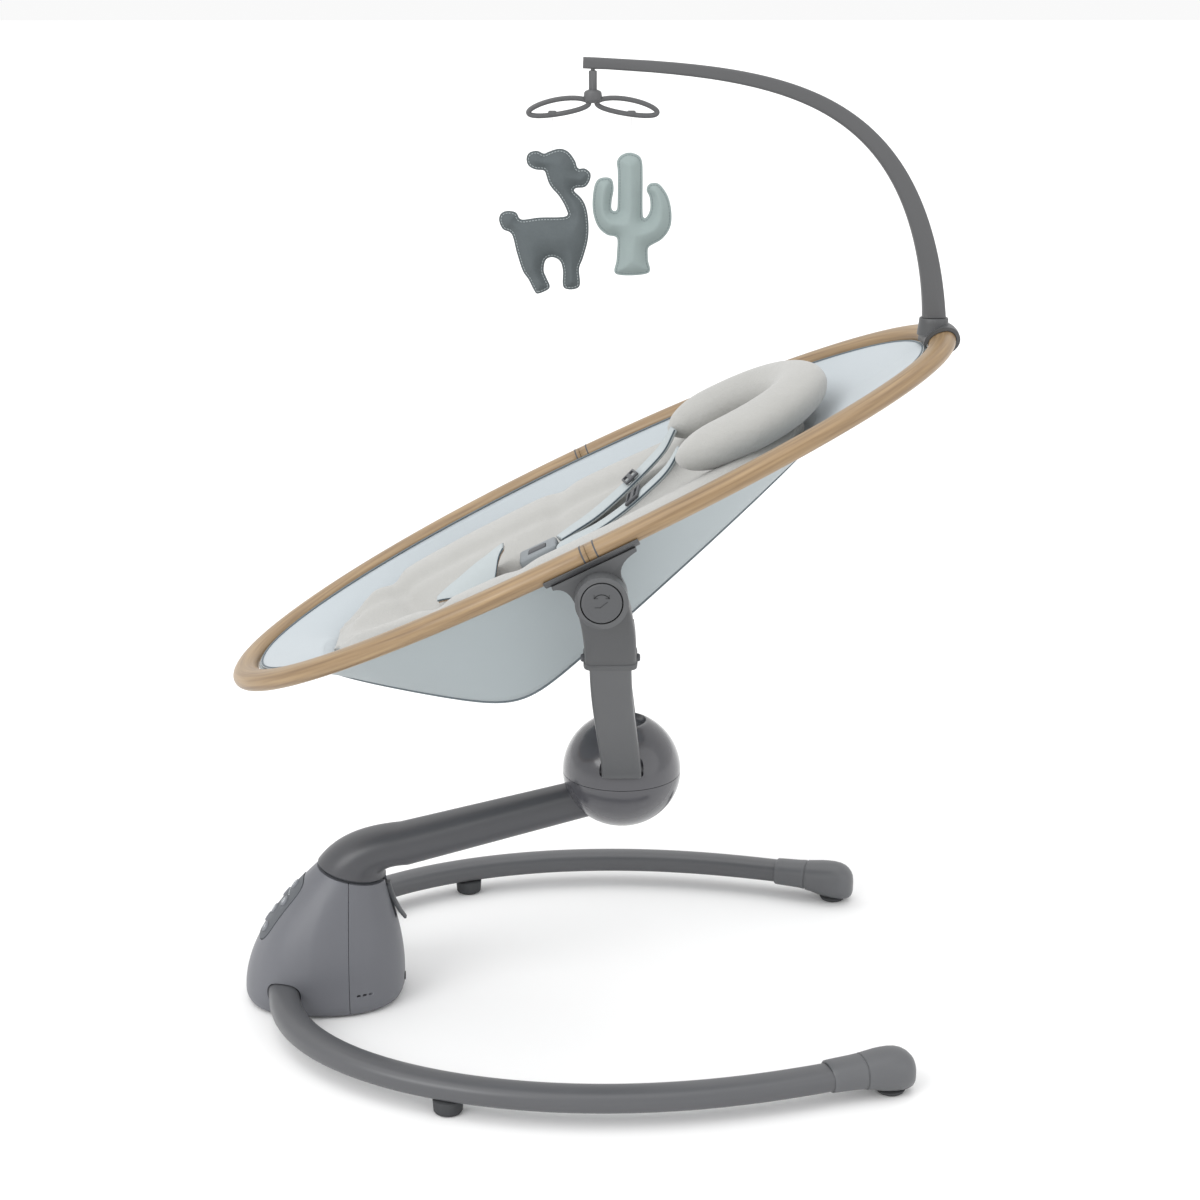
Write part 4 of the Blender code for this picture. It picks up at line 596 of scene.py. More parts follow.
for i in range(5):
    spot, slope = on_hub(-0.010 + 0.005 * i, 0.0185)
    turn = slope.to_track_quat("Z", "Y").to_matrix().to_4x4()
    lamp_dot = turned(f"speed_lamp_{i}", ((0, 0.0014), (0.0006, 0.00125), (0.0009, 0.0007), (0, 0.0002)), 16)
    lamp_dot.data.transform(Matrix.Translation(spot) @ turn)
    settle(lamp_dot, "base", print_finish, "mid_plastic")

# ---- base plate, drive and other plain mouldings ------------------------------------------------
# The base plate closes the hub from below; inside stand the spindle's tower, its bearings, the
# magnet arm, the coil and the circuit board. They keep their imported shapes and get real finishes.

dark_finish = skinned("dark_moulding", moulded_skin, (0.060, 0.063, 0.070), values={"Roughness": 0.5})
steel_finish = skinned(
    "turned_steel", moulded_skin, (0.56, 0.57, 0.58), 0.1, values={"Roughness": 0.3}, Metallic=1.0
)
copper_finish = skinned(
    "wound_copper", moulded_skin, (0.72, 0.36, 0.18), 0.4, values={"Roughness": 0.35}, Metallic=1.0
)
board_finish = skinned("circuit_board", moulded_skin, (0.03, 0.14, 0.07), values={"Roughness": 0.5})
rubber_finish = skinned(
    "soft_rubber", moulded_skin, (0.042, 0.044, 0.047), 0.5, values={"Grain": 600.0, "Roughness": 0.8}
)
for material, nodes in (
    (dark_finish, ("base_plate", "spindle_tower")),
    (steel_finish, ("swing_spindle", "bearing_upper", "bearing_lower", "drive_magnet", "ball_yoke")),
    (copper_finish, ("drive_coil",)),
    (board_finish, ("control_board",)),
    (rubber_finish, ("power_inlet",)),
):
    for node in nodes:
        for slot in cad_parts[node].material_slots:
            slot.material = material


def node_copy(node, name):
    """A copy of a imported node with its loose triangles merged."""
    obj = bpy.data.objects.new(name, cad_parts[node].data.copy())
    bpy.context.scene.collection.objects.link(obj)
    bm = bmesh.new()
    bm.from_mesh(obj.data)
    bmesh.ops.remove_doubles(bm, verts=bm.verts, dist=0.00001)
    bm.to_mesh(obj.data)
    bm.free()
    return obj


lock_lever = eased(node_copy("swing_lock_lever", "lock_lever_look"), 0.0008, 40)
settle(lock_lever, "lock_lever", dark_finish, "dark_plastic", "swing_lock_lever")

# ---- legs, feet and rubber pads -----------------------------------------------------------------
# Two bent oval tubes sweep out of the hub and round to the front. Each ends in a moulded shoe with
# a sleeve, a seam and a round nose, and stands on two soft rubber pads.

tube_finish = skinned(
    "painted_tube", moulded_skin, (0.090, 0.092, 0.098), 0.06, values={"Grain": 1400.0, "Roughness": 0.34}
)
shoe_finish = skinned("shoe_moulding", moulded_skin, (0.104, 0.107, 0.113), values={"Roughness": 0.4})
leg_last = 89
for word, side in sides.items():
    leg = leg_solid(f"leg_{word}_tube", side, 0.0, 0, leg_last)
    settle(leg, "base", tube_finish, "grey_plastic", f"leg_{word}")

    points = leg_path(side)
    ahead = (points[-1] - points[-19]).normalized()
    across = Vector((ahead.y, -ahead.x, 0))
    tip = points[-1]
    outline = (
        (1.000, 0.0183, 0.0143, 0.0428),
        (0.990, 0.0192, 0.0134, 0.0437),
        (0.930, 0.0196, 0.0130, 0.0441),
        (0.700, 0.0203, 0.0122, 0.0448),
        (0.620, 0.0208, 0.0112, 0.0454),
        (0.612, 0.0200, 0.0120, 0.0446),
        (0.604, 0.0200, 0.0118, 0.0446),
        (0.596, 0.0211, 0.0104, 0.0457),
        (0.500, 0.0222, 0.0085, 0.0467),
        (0.420, 0.0234, 0.0062, 0.0476),
        (0.340, 0.0240, 0.0046, 0.0480),
        (0.260, 0.0241, 0.0035, 0.0480),
        (0.180, 0.0232, 0.0030, 0.0470),
        (0.120, 0.0213, 0.0031, 0.0450),
        (0.070, 0.0182, 0.0038, 0.0418),
        (0.035, 0.0144, 0.0052, 0.0380),
        (0.012, 0.0100, 0.0076, 0.0338),
        (0.000, 0.0048, 0.0115, 0.0285),
    )
    shoe = []
    for back, wide, low, high in outline:
        centre = tip - ahead * 0.098 * back
        centre.z = (low + high) / 2
        shoe.append(oval(centre, across * wide, (0, 0, (high - low) / 2), 2.3, 48))
    foot = loft(f"foot_{word}_shoe", shoe)
    sole_centre = tip - ahead * 0.0255
    sole_low, sole_high = ((sole_centre.x, sole_centre.y, height) for height in (-0.01, 0.005))
    sole_room = rod("sole_room", 0.0164, sole_low, sole_high)
    carve(foot, [leg_solid("leg_room", side, 0.0005, 60, leg_last), sole_room])
    eased(foot, 0.0004, 40)
    settle(foot, "base", shoe_finish, "mid_plastic", f"foot_{word}")

    for node, centre, height in (
        (f"foot_pad_{word}", sole_centre, 0.0046),
        (f"leg_pad_{word}", mix(points[42], points[48], 0.5), 0.0156),
    ):
        pad = turned(
            f"{node}_rubber",
            (
                (0, height),
                (0.0158, height),
                (0.0160, height - 0.0008),
                (0.0152, 0.0022),
                (0.0143, 0.0008),
                (0.0130, 0.0),
                (0.0105, 0.0),
                (0.0098, 0.0007),
                (0, 0.0007),
            ),
        )
        pad.data.transform(Matrix.Translation((centre.x, centre.y, 0)))
        settle(pad, "base", rubber_finish, "soft_rubber", node)

# ---- swing arm ----------------------------------------------------------------------------------
# One moulded arm: a dome over the neck, an elbow and a slim oval beam with a soft ridge along each
# side. A dark ring fills the gap that lets the dome turn on the hub.

arm_finish = skinned("arm_moulding", moulded_skin, (0.059, 0.060, 0.066), 0.08, values={"Roughness": 0.36})
ball_centre = Vector((0, 0.038, 0.269))
arm_gap = 0.0030
elbow_end = neck + Vector((0, 0.0605, 0.0315))
elbow_turn = neck + Vector((0, 0.011, 0.028))
arm_tip = ball_centre + Vector((0, -0.036, -0.0320))


def arm_section(centre, lean, wide, half, power, ridge):
    """One section of the arm, with its ridge a little under the middle of each side."""
    across = Vector((0, -math.sin(lean), math.cos(lean)))
    ring = oval(centre, (wide, 0, 0), across * half, power, 72)
    for point in ring:
        offset = point - centre
        angle = math.degrees(math.atan2(offset.dot(across) / half, abs(offset.x) / wide))
        point += offset.normalized() * ridge * crease(angle, -24, 34)
    return ring


def arm_sections(extra=0.0, first=0):
    base = neck + swing_axis * arm_gap
    run = arm_tip - elbow_end
    slope = math.atan2(run.z, run.y)
    sections = []
    for i in range(25):
        share = i / 24
        centre = bezier((base, elbow_turn, elbow_end), share)
        lean = mix(math.pi / 2 - swing_lean, slope, share)
        half = mix(0.0222, neck_radius, (1 - share) ** 2) + extra
        wide = mix(0.031, neck_radius, 1 - share) + extra
        sections.append(arm_section(centre, lean, wide, half, mix(2.0, 2.5, share), 0.0012 * share))
    for i in range(1, 13):
        share = i / 12
        half = mix(0.0222, 0.0198, share) + extra
        wide = mix(0.031, 0.023, share) + extra
        sections.append(arm_section(mix(elbow_end, arm_tip, share), slope, wide, half, 2.5, 0.0012))
    return sections[first:]


arm = loft("swing_arm_beam", arm_sections())
eased(arm, 0.0008, 50)
settle(arm, "arm", arm_finish, "grey_plastic", "swing_arm")
gap_ring = rod("neck_gap_ring", 0.0355, neck - swing_axis * 0.0008, neck + swing_axis * (arm_gap + 0.001))
settle(gap_ring, "arm", dark_finish, "dark_plastic")

# ---- ball ---------------------------------------------------------------------------------------
# Two glossy half shells join at the level of the posts' feet. The top is flattened and dished, and a
# U-shaped pocket on each side takes the foot of a post.

gloss_finish = skinned(
    "glossy_moulding",
    moulded_skin,
    (0.061, 0.061, 0.069),
    0.03,
    values={"Roughness": 0.22, "Grain": 500.0, "Wear": 0.1},
    Coat_Weight=0.5,
    Coat_Roughness=0.12,
)
ball_radius = 0.066
flat_height = 0.0594
ball_wall = 0.0032
post_x = 0.062
post_y = 0.036
post_bottom = 0.285


def ball_arc(radius, top, bottom, count=28, flatten=1.0):
    high = math.asin(max(-1.0, min(1.0, top / radius)))
    low = math.asin(max(-1.0, min(1.0, bottom / radius)))
    angles = [mix(high, low, i / count) for i in range(count + 1)]
    return [
        (max(radius * math.cos(a), 0.0), radius * math.sin(a) * (flatten if a < 0 else 1.0))
        for a in angles
    ]


upper_outside = ball_arc(ball_radius, flat_height, 0.0003)
rim = upper_outside[0][0]
dish = [(0, flat_height - 0.0050), (rim * 0.55, flat_height - 0.0046), (rim * 0.84, flat_height - 0.0026)]
dish += [(rim * 0.93, flat_height - 0.0002), (rim * 0.965, flat_height)]
upper_inside = ball_arc(ball_radius - ball_wall, flat_height - ball_wall - 0.005, 0.0003)[::-1]
upper_profile = dish + upper_outside[1:] + upper_inside + [(0, flat_height - ball_wall - 0.005)]
lower_outside = ball_arc(ball_radius, -0.0003, -ball_radius, flatten=0.94)
lower_inside = ball_arc(ball_radius - ball_wall, -0.0003, -ball_radius + ball_wall, flatten=0.94)
lower_outside[-1] = (0, lower_outside[-1][1])
lower_inside[-1] = (0, lower_inside[-1][1])
ball_upper = turned("ball_top", upper_profile)
ball_lower = turned("ball_bottom", lower_inside[::-1] + lower_outside)
for shell in (ball_upper, ball_lower):
    shell.data.transform(Matrix.Translation(ball_centre))

pocket_inner = post_x - 0.0075 - 0.0038
for word, side in sides.items():
    clip = turned("ball_clip", [(0, 0.0584), *ball_arc(ball_radius - 0.0006, 0.0584, 0.0004), (0, 0.0004)])
    clip.data.transform(Matrix.Translation(ball_centre))
    lining = block(
        "pocket_lining", (0.003, 0.053, 0.075), (side * (pocket_inner + 0.0015), post_y, post_bottom + 0.0335)
    )
    pocket_floor = block(
        "pocket_floor", (0.02, 0.053, 0.003), (side * (pocket_inner + 0.01), post_y, post_bottom - 0.0027)
    )
    carve(lining, [pocket_floor], "UNION")
    carve(lining, [clip], "INTERSECT")
    carve(ball_upper, [lining], "UNION")
    pocket = block(
        "pocket", (0.06, 0.0480, 0.08), (side * (pocket_inner + 0.033), post_y, post_bottom + 0.0388), 0.003
    )
    tongue_slot = block("tongue_slot", (0.0053, 0.0208, 0.04), (side * 0.05695, post_y, post_bottom))
    carve(ball_upper, [pocket, tongue_slot])
carve(ball_lower, [loft("arm_mouth", arm_sections(0.0008, 20))])
for shell, node in ((ball_upper, "ball_upper_shell"), (ball_lower, "ball_lower_shell")):
    eased(shell, 0.0007, 36)
    settle(shell, "arm", gloss_finish, "grey_plastic", node)

# ---- posts, brackets and their buttons ----------------------------------------------------------
# A flat post rises from each pocket and leans out into a bracket. The bracket's collar has a raised
# band and two push buttons, and its round head carries the recline cap in a ring-shaped gap.

post_finish = skinned("post_moulding", moulded_skin, (0.081, 0.084, 0.088), 0.08, values={"Roughness": 0.38})
bracket_finish = skinned("bracket_moulding", moulded_skin, (0.070, 0.072, 0.075), values={"Roughness": 0.44})
cap_finish = skinned("cap_moulding", moulded_skin, (0.072, 0.074, 0.078), values={"Roughness": 0.46})
ink_finish = skinned(
    "dark_print", moulded_skin, (0.030, 0.031, 0.034), 0.03, values={"Roughness": 0.5, "Wear": 0.0}
)
seat_tilt = math.radians(25.75)
seat_up = Vector((0, -math.sin(seat_tilt), math.cos(seat_tilt)))
seat_along = Vector((0, math.cos(seat_tilt), math.sin(seat_tilt)))
seat_centre = Vector((0, 0, 0.574))
seat_frame = Matrix.Translation(seat_centre) @ Matrix.Rotation(seat_tilt, 4, "X")
pivot = seat_centre - seat_up * 0.036 - seat_along * 0.006
post_lean = math.radians(40)
lean_way = Vector((math.sin(post_lean), 0, math.cos(post_lean)))
bracket_foot = Vector((0.192, pivot.y + 0.010, 0.4605))
head_inner = 0.235
head_outer = 0.255
head_radius = 0.0262
cap_radius = 0.0200


def bar_section(centre, ahead, side, half_width, half_thickness, power=6.0):
    """A flat bar's section square to its run, wide along Y."""
    ahead = Vector((ahead.x, 0, ahead.z)).normalized()
    across = Vector((ahead.z, 0, -ahead.x)) * half_thickness
    ring = oval(centre, (0, half_width, 0), across, power, 48)
    return [Vector((point.x * side, point.y, point.z)) for point in ring]


def post_line(share):
    low = Vector((post_x, post_y, post_bottom))
    top = bracket_foot + lean_way * 0.017
    return bezier((low, low + Vector((0, 0, 0.034)), bracket_foot - lean_way * 0.095, top), share)


def bracket_line(share):
    top = Vector(((head_inner + head_outer) / 2, pivot.y, pivot.z))
    return bezier((bracket_foot, bracket_foot + lean_way * 0.060, top), share)


def direction(line, share):
    return line(min(share + 0.01, 1.0)) - line(max(share - 0.01, 0.0))


recline_sign = (
    arc(9.0, 35, 145, 20),
    [(7.4 - 3.4, 5.2), (7.4, 5.2), (7.4, 8.6)],
    [(-7.4 + 3.4, 5.2), (-7.4, 5.2), (-7.4, 8.6)],
    [(-6.5, -4.0), (-1.5, -4.0), (5.5, 1.5)],
)
for word, side in sides.items():
    post = loft(
        f"post_{word}_bar",
        [
            bar_section(post_line(i / 32), direction(post_line, i / 32), side, 0.0215, 0.0075)
            for i in range(33)
        ],
    )
    eased(post, 0.0012, 50, 3)
    settle(post, "arm", post_finish, "mid_plastic", f"post_{word}")

    sections = []
    for i in range(17):
        share = i / 16
        half = mix(0.026, 0.0262, share)
        thick = mix(0.0125, 0.0095, share)
        sections.append(bar_section(bracket_line(share), direction(bracket_line, share), side, half, thick))
    bracket = loft(f"bracket_{word}_arm", sections)
    head = rod(
        "bracket_head",
        head_radius,
        (side * head_inner, pivot.y, pivot.z),
        (side * head_outer, pivot.y, pivot.z),
        96,
    )
    band = loft(
        "collar_band",
        [
            bar_section(
                bracket_foot + lean_way * (offset + 0.002), lean_way, side, 0.026 + swell, 0.0125 + swell
            )
            for offset, swell in ((-0.0012, 0), (-0.0004, 0.001), (0.0, 0.0013), (0.006, 0.0013), (0.0072, 0))
        ],
    )
    carve(bracket, [head, band], "UNION")
    socket = loft(
        "post_socket",
        [
            bar_section(bracket_foot + lean_way * offset, lean_way, side, 0.0221, 0.0085)
            for offset in (-0.006, 0.018)
        ],
    )
    trim = block(
        "bracket_trim", (0.04, 0.09, 0.072), (side * (head_inner - 0.02), pivot.y, pivot.z - 0.0253 + 0.0355)
    )
    cap_pocket = rod(
        "cap_pocket",
        cap_radius + 0.0011,
        (side * (head_outer - 0.0105), pivot.y, pivot.z),
        (side * (head_outer + 0.01), pivot.y, pivot.z),
        96,
    )
    bore = rod(
        "pivot_bore",
        0.0084,
        (side * (head_inner - 0.01), pivot.y, pivot.z),
        (side * (head_outer - 0.008), pivot.y, pivot.z),
    )
    carve(bracket, [socket, trim, cap_pocket, bore])
    eased(bracket, 0.0010, 34, 3)
    settle(bracket, "arm", bracket_finish, "grey_plastic", f"bracket_{word}")

    # the cap stands in its pocket with a dark ring of shade round it
    cap = turned(
        f"recline_cap_{word}",
        (
            (0, 0.0004),
            (0.010, 0.0005),
            (0.0150, 0.0008),
            (0.0182, 0.0010),
            (0.0194, 0.0006),
            (0.0200, -0.0004),
            (0.0200, -0.0055),
            (0, -0.0055),
        ),
    )
    cap_frame = Matrix.Translation((side * head_outer, pivot.y, pivot.z)) @ Matrix.Rotation(
        side * math.pi / 2, 4, "Y"
    )
    cap.data.transform(cap_frame)
    settle(cap, f"recline_press_{word}", cap_finish, "mid_plastic", f"recline_button_{word}")
    spin = Matrix.Rotation(math.pi / 2, 4, "Z") if side > 0 else Matrix.Rotation(-math.pi / 2, 4, "Z")
    sign_frame = cap_frame @ Matrix.Translation((0, 0, 0.0007)) @ spin
    sign = sign_mesh(f"recline_sign_{word}", recline_sign, sign_frame)
    settle(sign, f"recline_press_{word}", ink_finish, "dark_plastic")

    for end in ("front", "rear"):
        node = f"release_button_{word}_{end}"
        button = eased(node_copy(node, f"{node}_look"), 0.0005, 30, 3)
        settle(button, f"release_press_{word}_{end}", dark_finish, "dark_plastic", node)

# ---- rail ---------------------------------------------------------------------------------------
# An oval aluminium tube in two halves, wrapped in printed wood-look film whose grain runs along it.
# Two dark rings on each side close the sleeve over the joint between the halves.

half_length = 0.415
half_width = 0.221
rail_half_width = 0.0148
rail_half_height = 0.0100
quarter = math.pi / 2

wood_finish, tree, shader = new_finish("wood_look_film", 0.4, Coat_Weight=0.15, Coat_Roughness=0.3)
along_rail = put(tree, "ShaderNodeUVMap", uv_map="along_rail")
stretch = put(tree, "ShaderNodeMapping", {"Vector": along_rail.outputs[0], "Scale": (1.0, 0.035, 1.0)})
streak = put(tree, "ShaderNodeTexNoise", {"Vector": stretch.outputs[0], "Scale": 260.0, "Detail": 8.0})
pore = put(tree, "ShaderNodeTexNoise", {"Vector": stretch.outputs[0], "Scale": 900.0, "Detail": 3.0})
band = put(tree, "ShaderNodeMapping", {"Vector": along_rail.outputs[0], "Scale": (1.0, 0.12, 1.0)})
drift = put(tree, "ShaderNodeTexNoise", {"Vector": band.outputs[0], "Scale": 40.0, "Detail": 3.0})
tones = put(tree, "ShaderNodeValToRGB", {"Fac": streak.outputs[0]})
tones.color_ramp.elements[0].position = 0.30
tones.color_ramp.elements[0].color = (0.195, 0.122, 0.060, 1)
tones.color_ramp.elements[1].position = 0.70
tones.color_ramp.elements[1].color = (0.365, 0.250, 0.132, 1)
lift = put(tree, "ShaderNodeMapRange", {"Value": drift.outputs[0], "To Min": 0.86, "To Max": 1.10})
film = put(tree, "ShaderNodeHueSaturation", {"Color": tones.outputs[0], "Value": lift.outputs[0]})
relief = put(tree, "ShaderNodeBump", {"Height": pore.outputs[0], "Strength": 0.15, "Distance": 0.0003})
tree.links.new(film.outputs[0], shader.inputs["Base Color"])
tree.links.new(relief.outputs[0], shader.inputs["Normal"])


def rail_point(angle, inward=0.0, drop=0.0):
    """A point of the rail's centre line in the seat's frame; angle 0 is the head end."""
    c = math.cos(angle)
    s = math.sin(angle)
    along = (half_length - inward) * math.copysign(abs(c) ** (2 / 2.09), c)
    egg = 1 - 0.022 * along / half_length
    wide = (half_width * egg - inward) * math.copysign(abs(s) ** (2 / 2.09), s)
    return Vector((wide, along, 0.0063 * (1 - (along / half_length) ** 2) - drop))


def rail_section(angle, extra, count=40):
    ahead = rail_point(angle + 0.004) - rail_point(angle - 0.004)
    out = ahead.cross(Vector((0, 0, 1))).normalized()
    up = Vector((0, 0, rail_half_height + extra))
    return oval(rail_point(angle), out * (rail_half_width + extra), up, 2.15, count)


def rail_body(name, start, end, steps, extra=0.0):
    return loft(name, [rail_section(mix(start, end, i / steps), extra) for i in range(steps + 1)])


def to_seat(obj):
    """Turns a shape made in the seat's own frame into its place."""
    obj.data.transform(seat_frame)
    return obj


def grain_map(obj):
    """UVs in metres, round the tube and along it, so that the grain follows the rail."""
    layer = obj.data.uv_layers.new(name="along_rail")
    back = seat_frame.inverted()
    table = []
    total = 0.0
    previous = rail_point(0.0)
    for i in range(721):
        here = rail_point(math.radians(i / 2))
        total += (here - previous).length
        previous = here
        table.append(total)
    for face in obj.data.polygons:
        centre = back @ face.center
        turn = math.degrees(math.atan2(centre.x / half_width, centre.y / half_length)) % 360
        for loop in face.loop_indices:
            spot = back @ obj.data.vertices[obj.data.loops[loop].vertex_index].co
            angle = math.degrees(math.atan2(spot.x / half_width, spot.y / half_length)) % 360
            if angle - turn > 180:
                angle -= 360
            elif turn - angle > 180:
                angle += 360
            angle = max(0.0, min(359.9, angle))
            step = int(angle * 2)
            metres = mix(table[step], table[step + 1], angle * 2 - step)
            middle = rail_point(math.radians(angle))
            radial = (spot.x - middle.x) * math.sin(math.radians(angle)) + (
                spot.y - middle.y
            ) * math.cos(math.radians(angle))
            around = math.atan2(spot.z - middle.z, radial) * 0.013
            layer.data[loop].uv = (around, metres)


for node, start, end in (
    ("ring_head_half", -quarter + 0.0005, quarter - 0.0005),
    ("ring_foot_half", quarter + 0.0005, 3 * quarter - 0.0005),
):
    rail = to_seat(rail_body(f"{node}_tube", start, end, 150))
    grain_map(rail)
    settle(rail, "seat", wood_finish, "wood_look_rail", node)
for word, side in sides.items():
    for i, centre in enumerate((-0.0185, 0.0095)):
        at = side * (quarter + centre)
        ring = to_seat(rail_body(f"joint_ring_{word}_{i}", at - 0.0016, at + 0.0016, 2, 0.00025))
        settle(ring, "seat", dark_finish, "dark_plastic")

# ---- saddles ------------------------------------------------------------------------------------
# A moulded cradle is screwed under each side of the rail. Its web curves down into the disc that
# turns on the bracket's pivot.

pivot_to_foot = 0.006
pivot_drop = 0.036
saddle_half_length = 0.046
for word, side in sides.items():
    reach = saddle_half_length / half_length
    at = side * quarter
    sleeve = rail_body(f"saddle_{word}_cradle", at - reach, at + reach, 24, 0.0034)
    inner = head_inner - 0.0135
    outer = head_inner - 0.0004
    fillet_steps = 8
    foot_fillet = ((-0.0455, -0.0090, 0), (-0.030, -0.012, 0), (-0.0322, -0.034, 0))
    head_fillet = ((0.0202, -0.034, 0), (0.0185, -0.012, 0), (0.0455, -0.0090, 0))
    outline = [(-0.0455, -0.0050)]
    outline += [tuple(bezier(foot_fillet, i / fillet_steps)[:2]) for i in range(fillet_steps + 1)]
    turns = [math.radians(mix(180, 360, i / 24)) for i in range(25)]
    outline += [
        (-pivot_to_foot + head_radius * math.cos(t), -pivot_drop + head_radius * math.sin(t)) for t in turns
    ]
    outline += [tuple(bezier(head_fillet, i / fillet_steps)[:2]) for i in range(1, fillet_steps + 1)]
    outline += [(0.0455, -0.0050)]
    web = loft(
        "saddle_web",
        [[Vector((side * x, along, height)) for along, height in outline] for x in (inner, outer)],
    )
    boss_start, boss_end = (
        (side * x, -pivot_to_foot, -pivot_drop) for x in (inner + 0.004, 0.2438)
    )
    boss = rod("saddle_boss", 0.0080, boss_start, boss_end)
    carve(sleeve, [web, boss], "UNION")
    above = block("above_cradle", (0.08, 0.2, 0.04), (side * half_width, 0, 0.0223))
    carve(sleeve, [above, rail_body("rail_clear", at - 2 * reach, at + 2 * reach, 48, 0.0006)])
    to_seat(sleeve)
    eased(sleeve, 0.0006, 34)
    settle(sleeve, "seat", bracket_finish, "grey_plastic", f"saddle_{word}")

# ---- outer cloth and lining of the seat ---------------------------------------------------------
# A taut bowl of smooth pale knit hangs from the rail: two long side panels sewn to a bottom panel
# with a thin dark piping. A white lining hangs inside it from the same edge.


def cloth_group():
    """Fine knit: crossed threads in relief, with a slow change of tone."""
    group = bpy.data.node_groups.new("fine_knit", "ShaderNodeTree")
    for word, kind, default in (
        ("Colour", "NodeSocketColor", (0.5, 0.5, 0.5, 1)),
        ("Threads", "NodeSocketFloat", 520.0),
        ("Mottle", "NodeSocketFloat", 0.05),
    ):
        group.interface.new_socket(word, in_out="INPUT", socket_type=kind).default_value = default
    for word, kind in (("Colour", "NodeSocketColor"), ("Height", "NodeSocketFloat")):
        group.interface.new_socket(word, in_out="OUTPUT", socket_type=kind)
    given = group.nodes.new("NodeGroupInput").outputs
    spot = put(group, "ShaderNodeTexCoord").outputs["Object"]
    warp = put(
        group,
        "ShaderNodeTexWave",
        {"Vector": spot, "Scale": given["Threads"], "Distortion": 0.6},
        bands_direction="Y",
    )
    weft = put(
        group,
        "ShaderNodeTexWave",
        {"Vector": spot, "Scale": given["Threads"], "Distortion": 0.6},
        bands_direction="DIAGONAL",
    )
    height = put(group, "ShaderNodeMath", operation="MULTIPLY")
    group.links.new(warp.outputs["Fac"], height.inputs[0])
    group.links.new(weft.outputs["Fac"], height.inputs[1])
    broad = put(group, "ShaderNodeTexNoise", {"Vector": spot, "Scale": 9.0, "Detail": 5.0})
    offset = put(group, "ShaderNodeMath", operation="SUBTRACT")
    group.links.new(broad.outputs[0], offset.inputs[0])
    offset.inputs[1].default_value = 0.5
    tone = put(group, "ShaderNodeMath", operation="MULTIPLY_ADD")
    group.links.new(offset.outputs[0], tone.inputs[0])
    group.links.new(given["Mottle"], tone.inputs[1])
    tone.inputs[2].default_value = 1.0
    colour = put(group, "ShaderNodeHueSaturation", {"Color": given["Colour"], "Value": tone.outputs[0]})
    result = group.nodes.new("NodeGroupOutput").inputs
    group.links.new(colour.outputs[0], result["Colour"])
    group.links.new(height.outputs[0], result["Height"])
    return group


fine_knit = cloth_group()
outer_finish = skinned(
    "outer_knit", fine_knit, (0.360, 0.405, 0.420), 0.15, 0.0003, roughness=0.85, Sheen_Weight=0.2
)
lining_finish = skinned(
    "white_lining", fine_knit, (0.450, 0.490, 0.515), 0.2, 0.0003, roughness=0.9, Sheen_Weight=0.2
)
piping_finish = skinned("blue_grey_piping", fine_knit, (0.150, 0.180, 0.200), 0.3, 0.0003, roughness=0.8)

panel_half_width = 0.088
panel_foot = 0.341
panel_head = 0.271


def bowl_depth(along):
    """Depth of the bowl under the rail: two slopes that meet in a round."""
    foot = 0.022 + 0.690 * (along + panel_foot)
    head = 0.022 + 0.305 * (panel_head - along)
    near = min(foot, head)
    round_off = math.exp(-(foot - near) / 0.0175) + math.exp(-(head - near) / 0.0175)
    return near - 0.0175 * math.log(round_off)


def panel_point(angle, across=1.0):
    """A point of the bottom panel: across 1 is its left edge, -1 its right edge."""
    along = (panel_head - panel_foot) / 2 + (panel_head + panel_foot) / 2 * math.cos(angle)
    wide = panel_half_width * abs(math.sin(angle)) ** 0.55 * across
    sag = 0.006 * (1 - across * across) * abs(math.sin(angle))
    return Vector((wide, along, -bowl_depth(along) - sag))


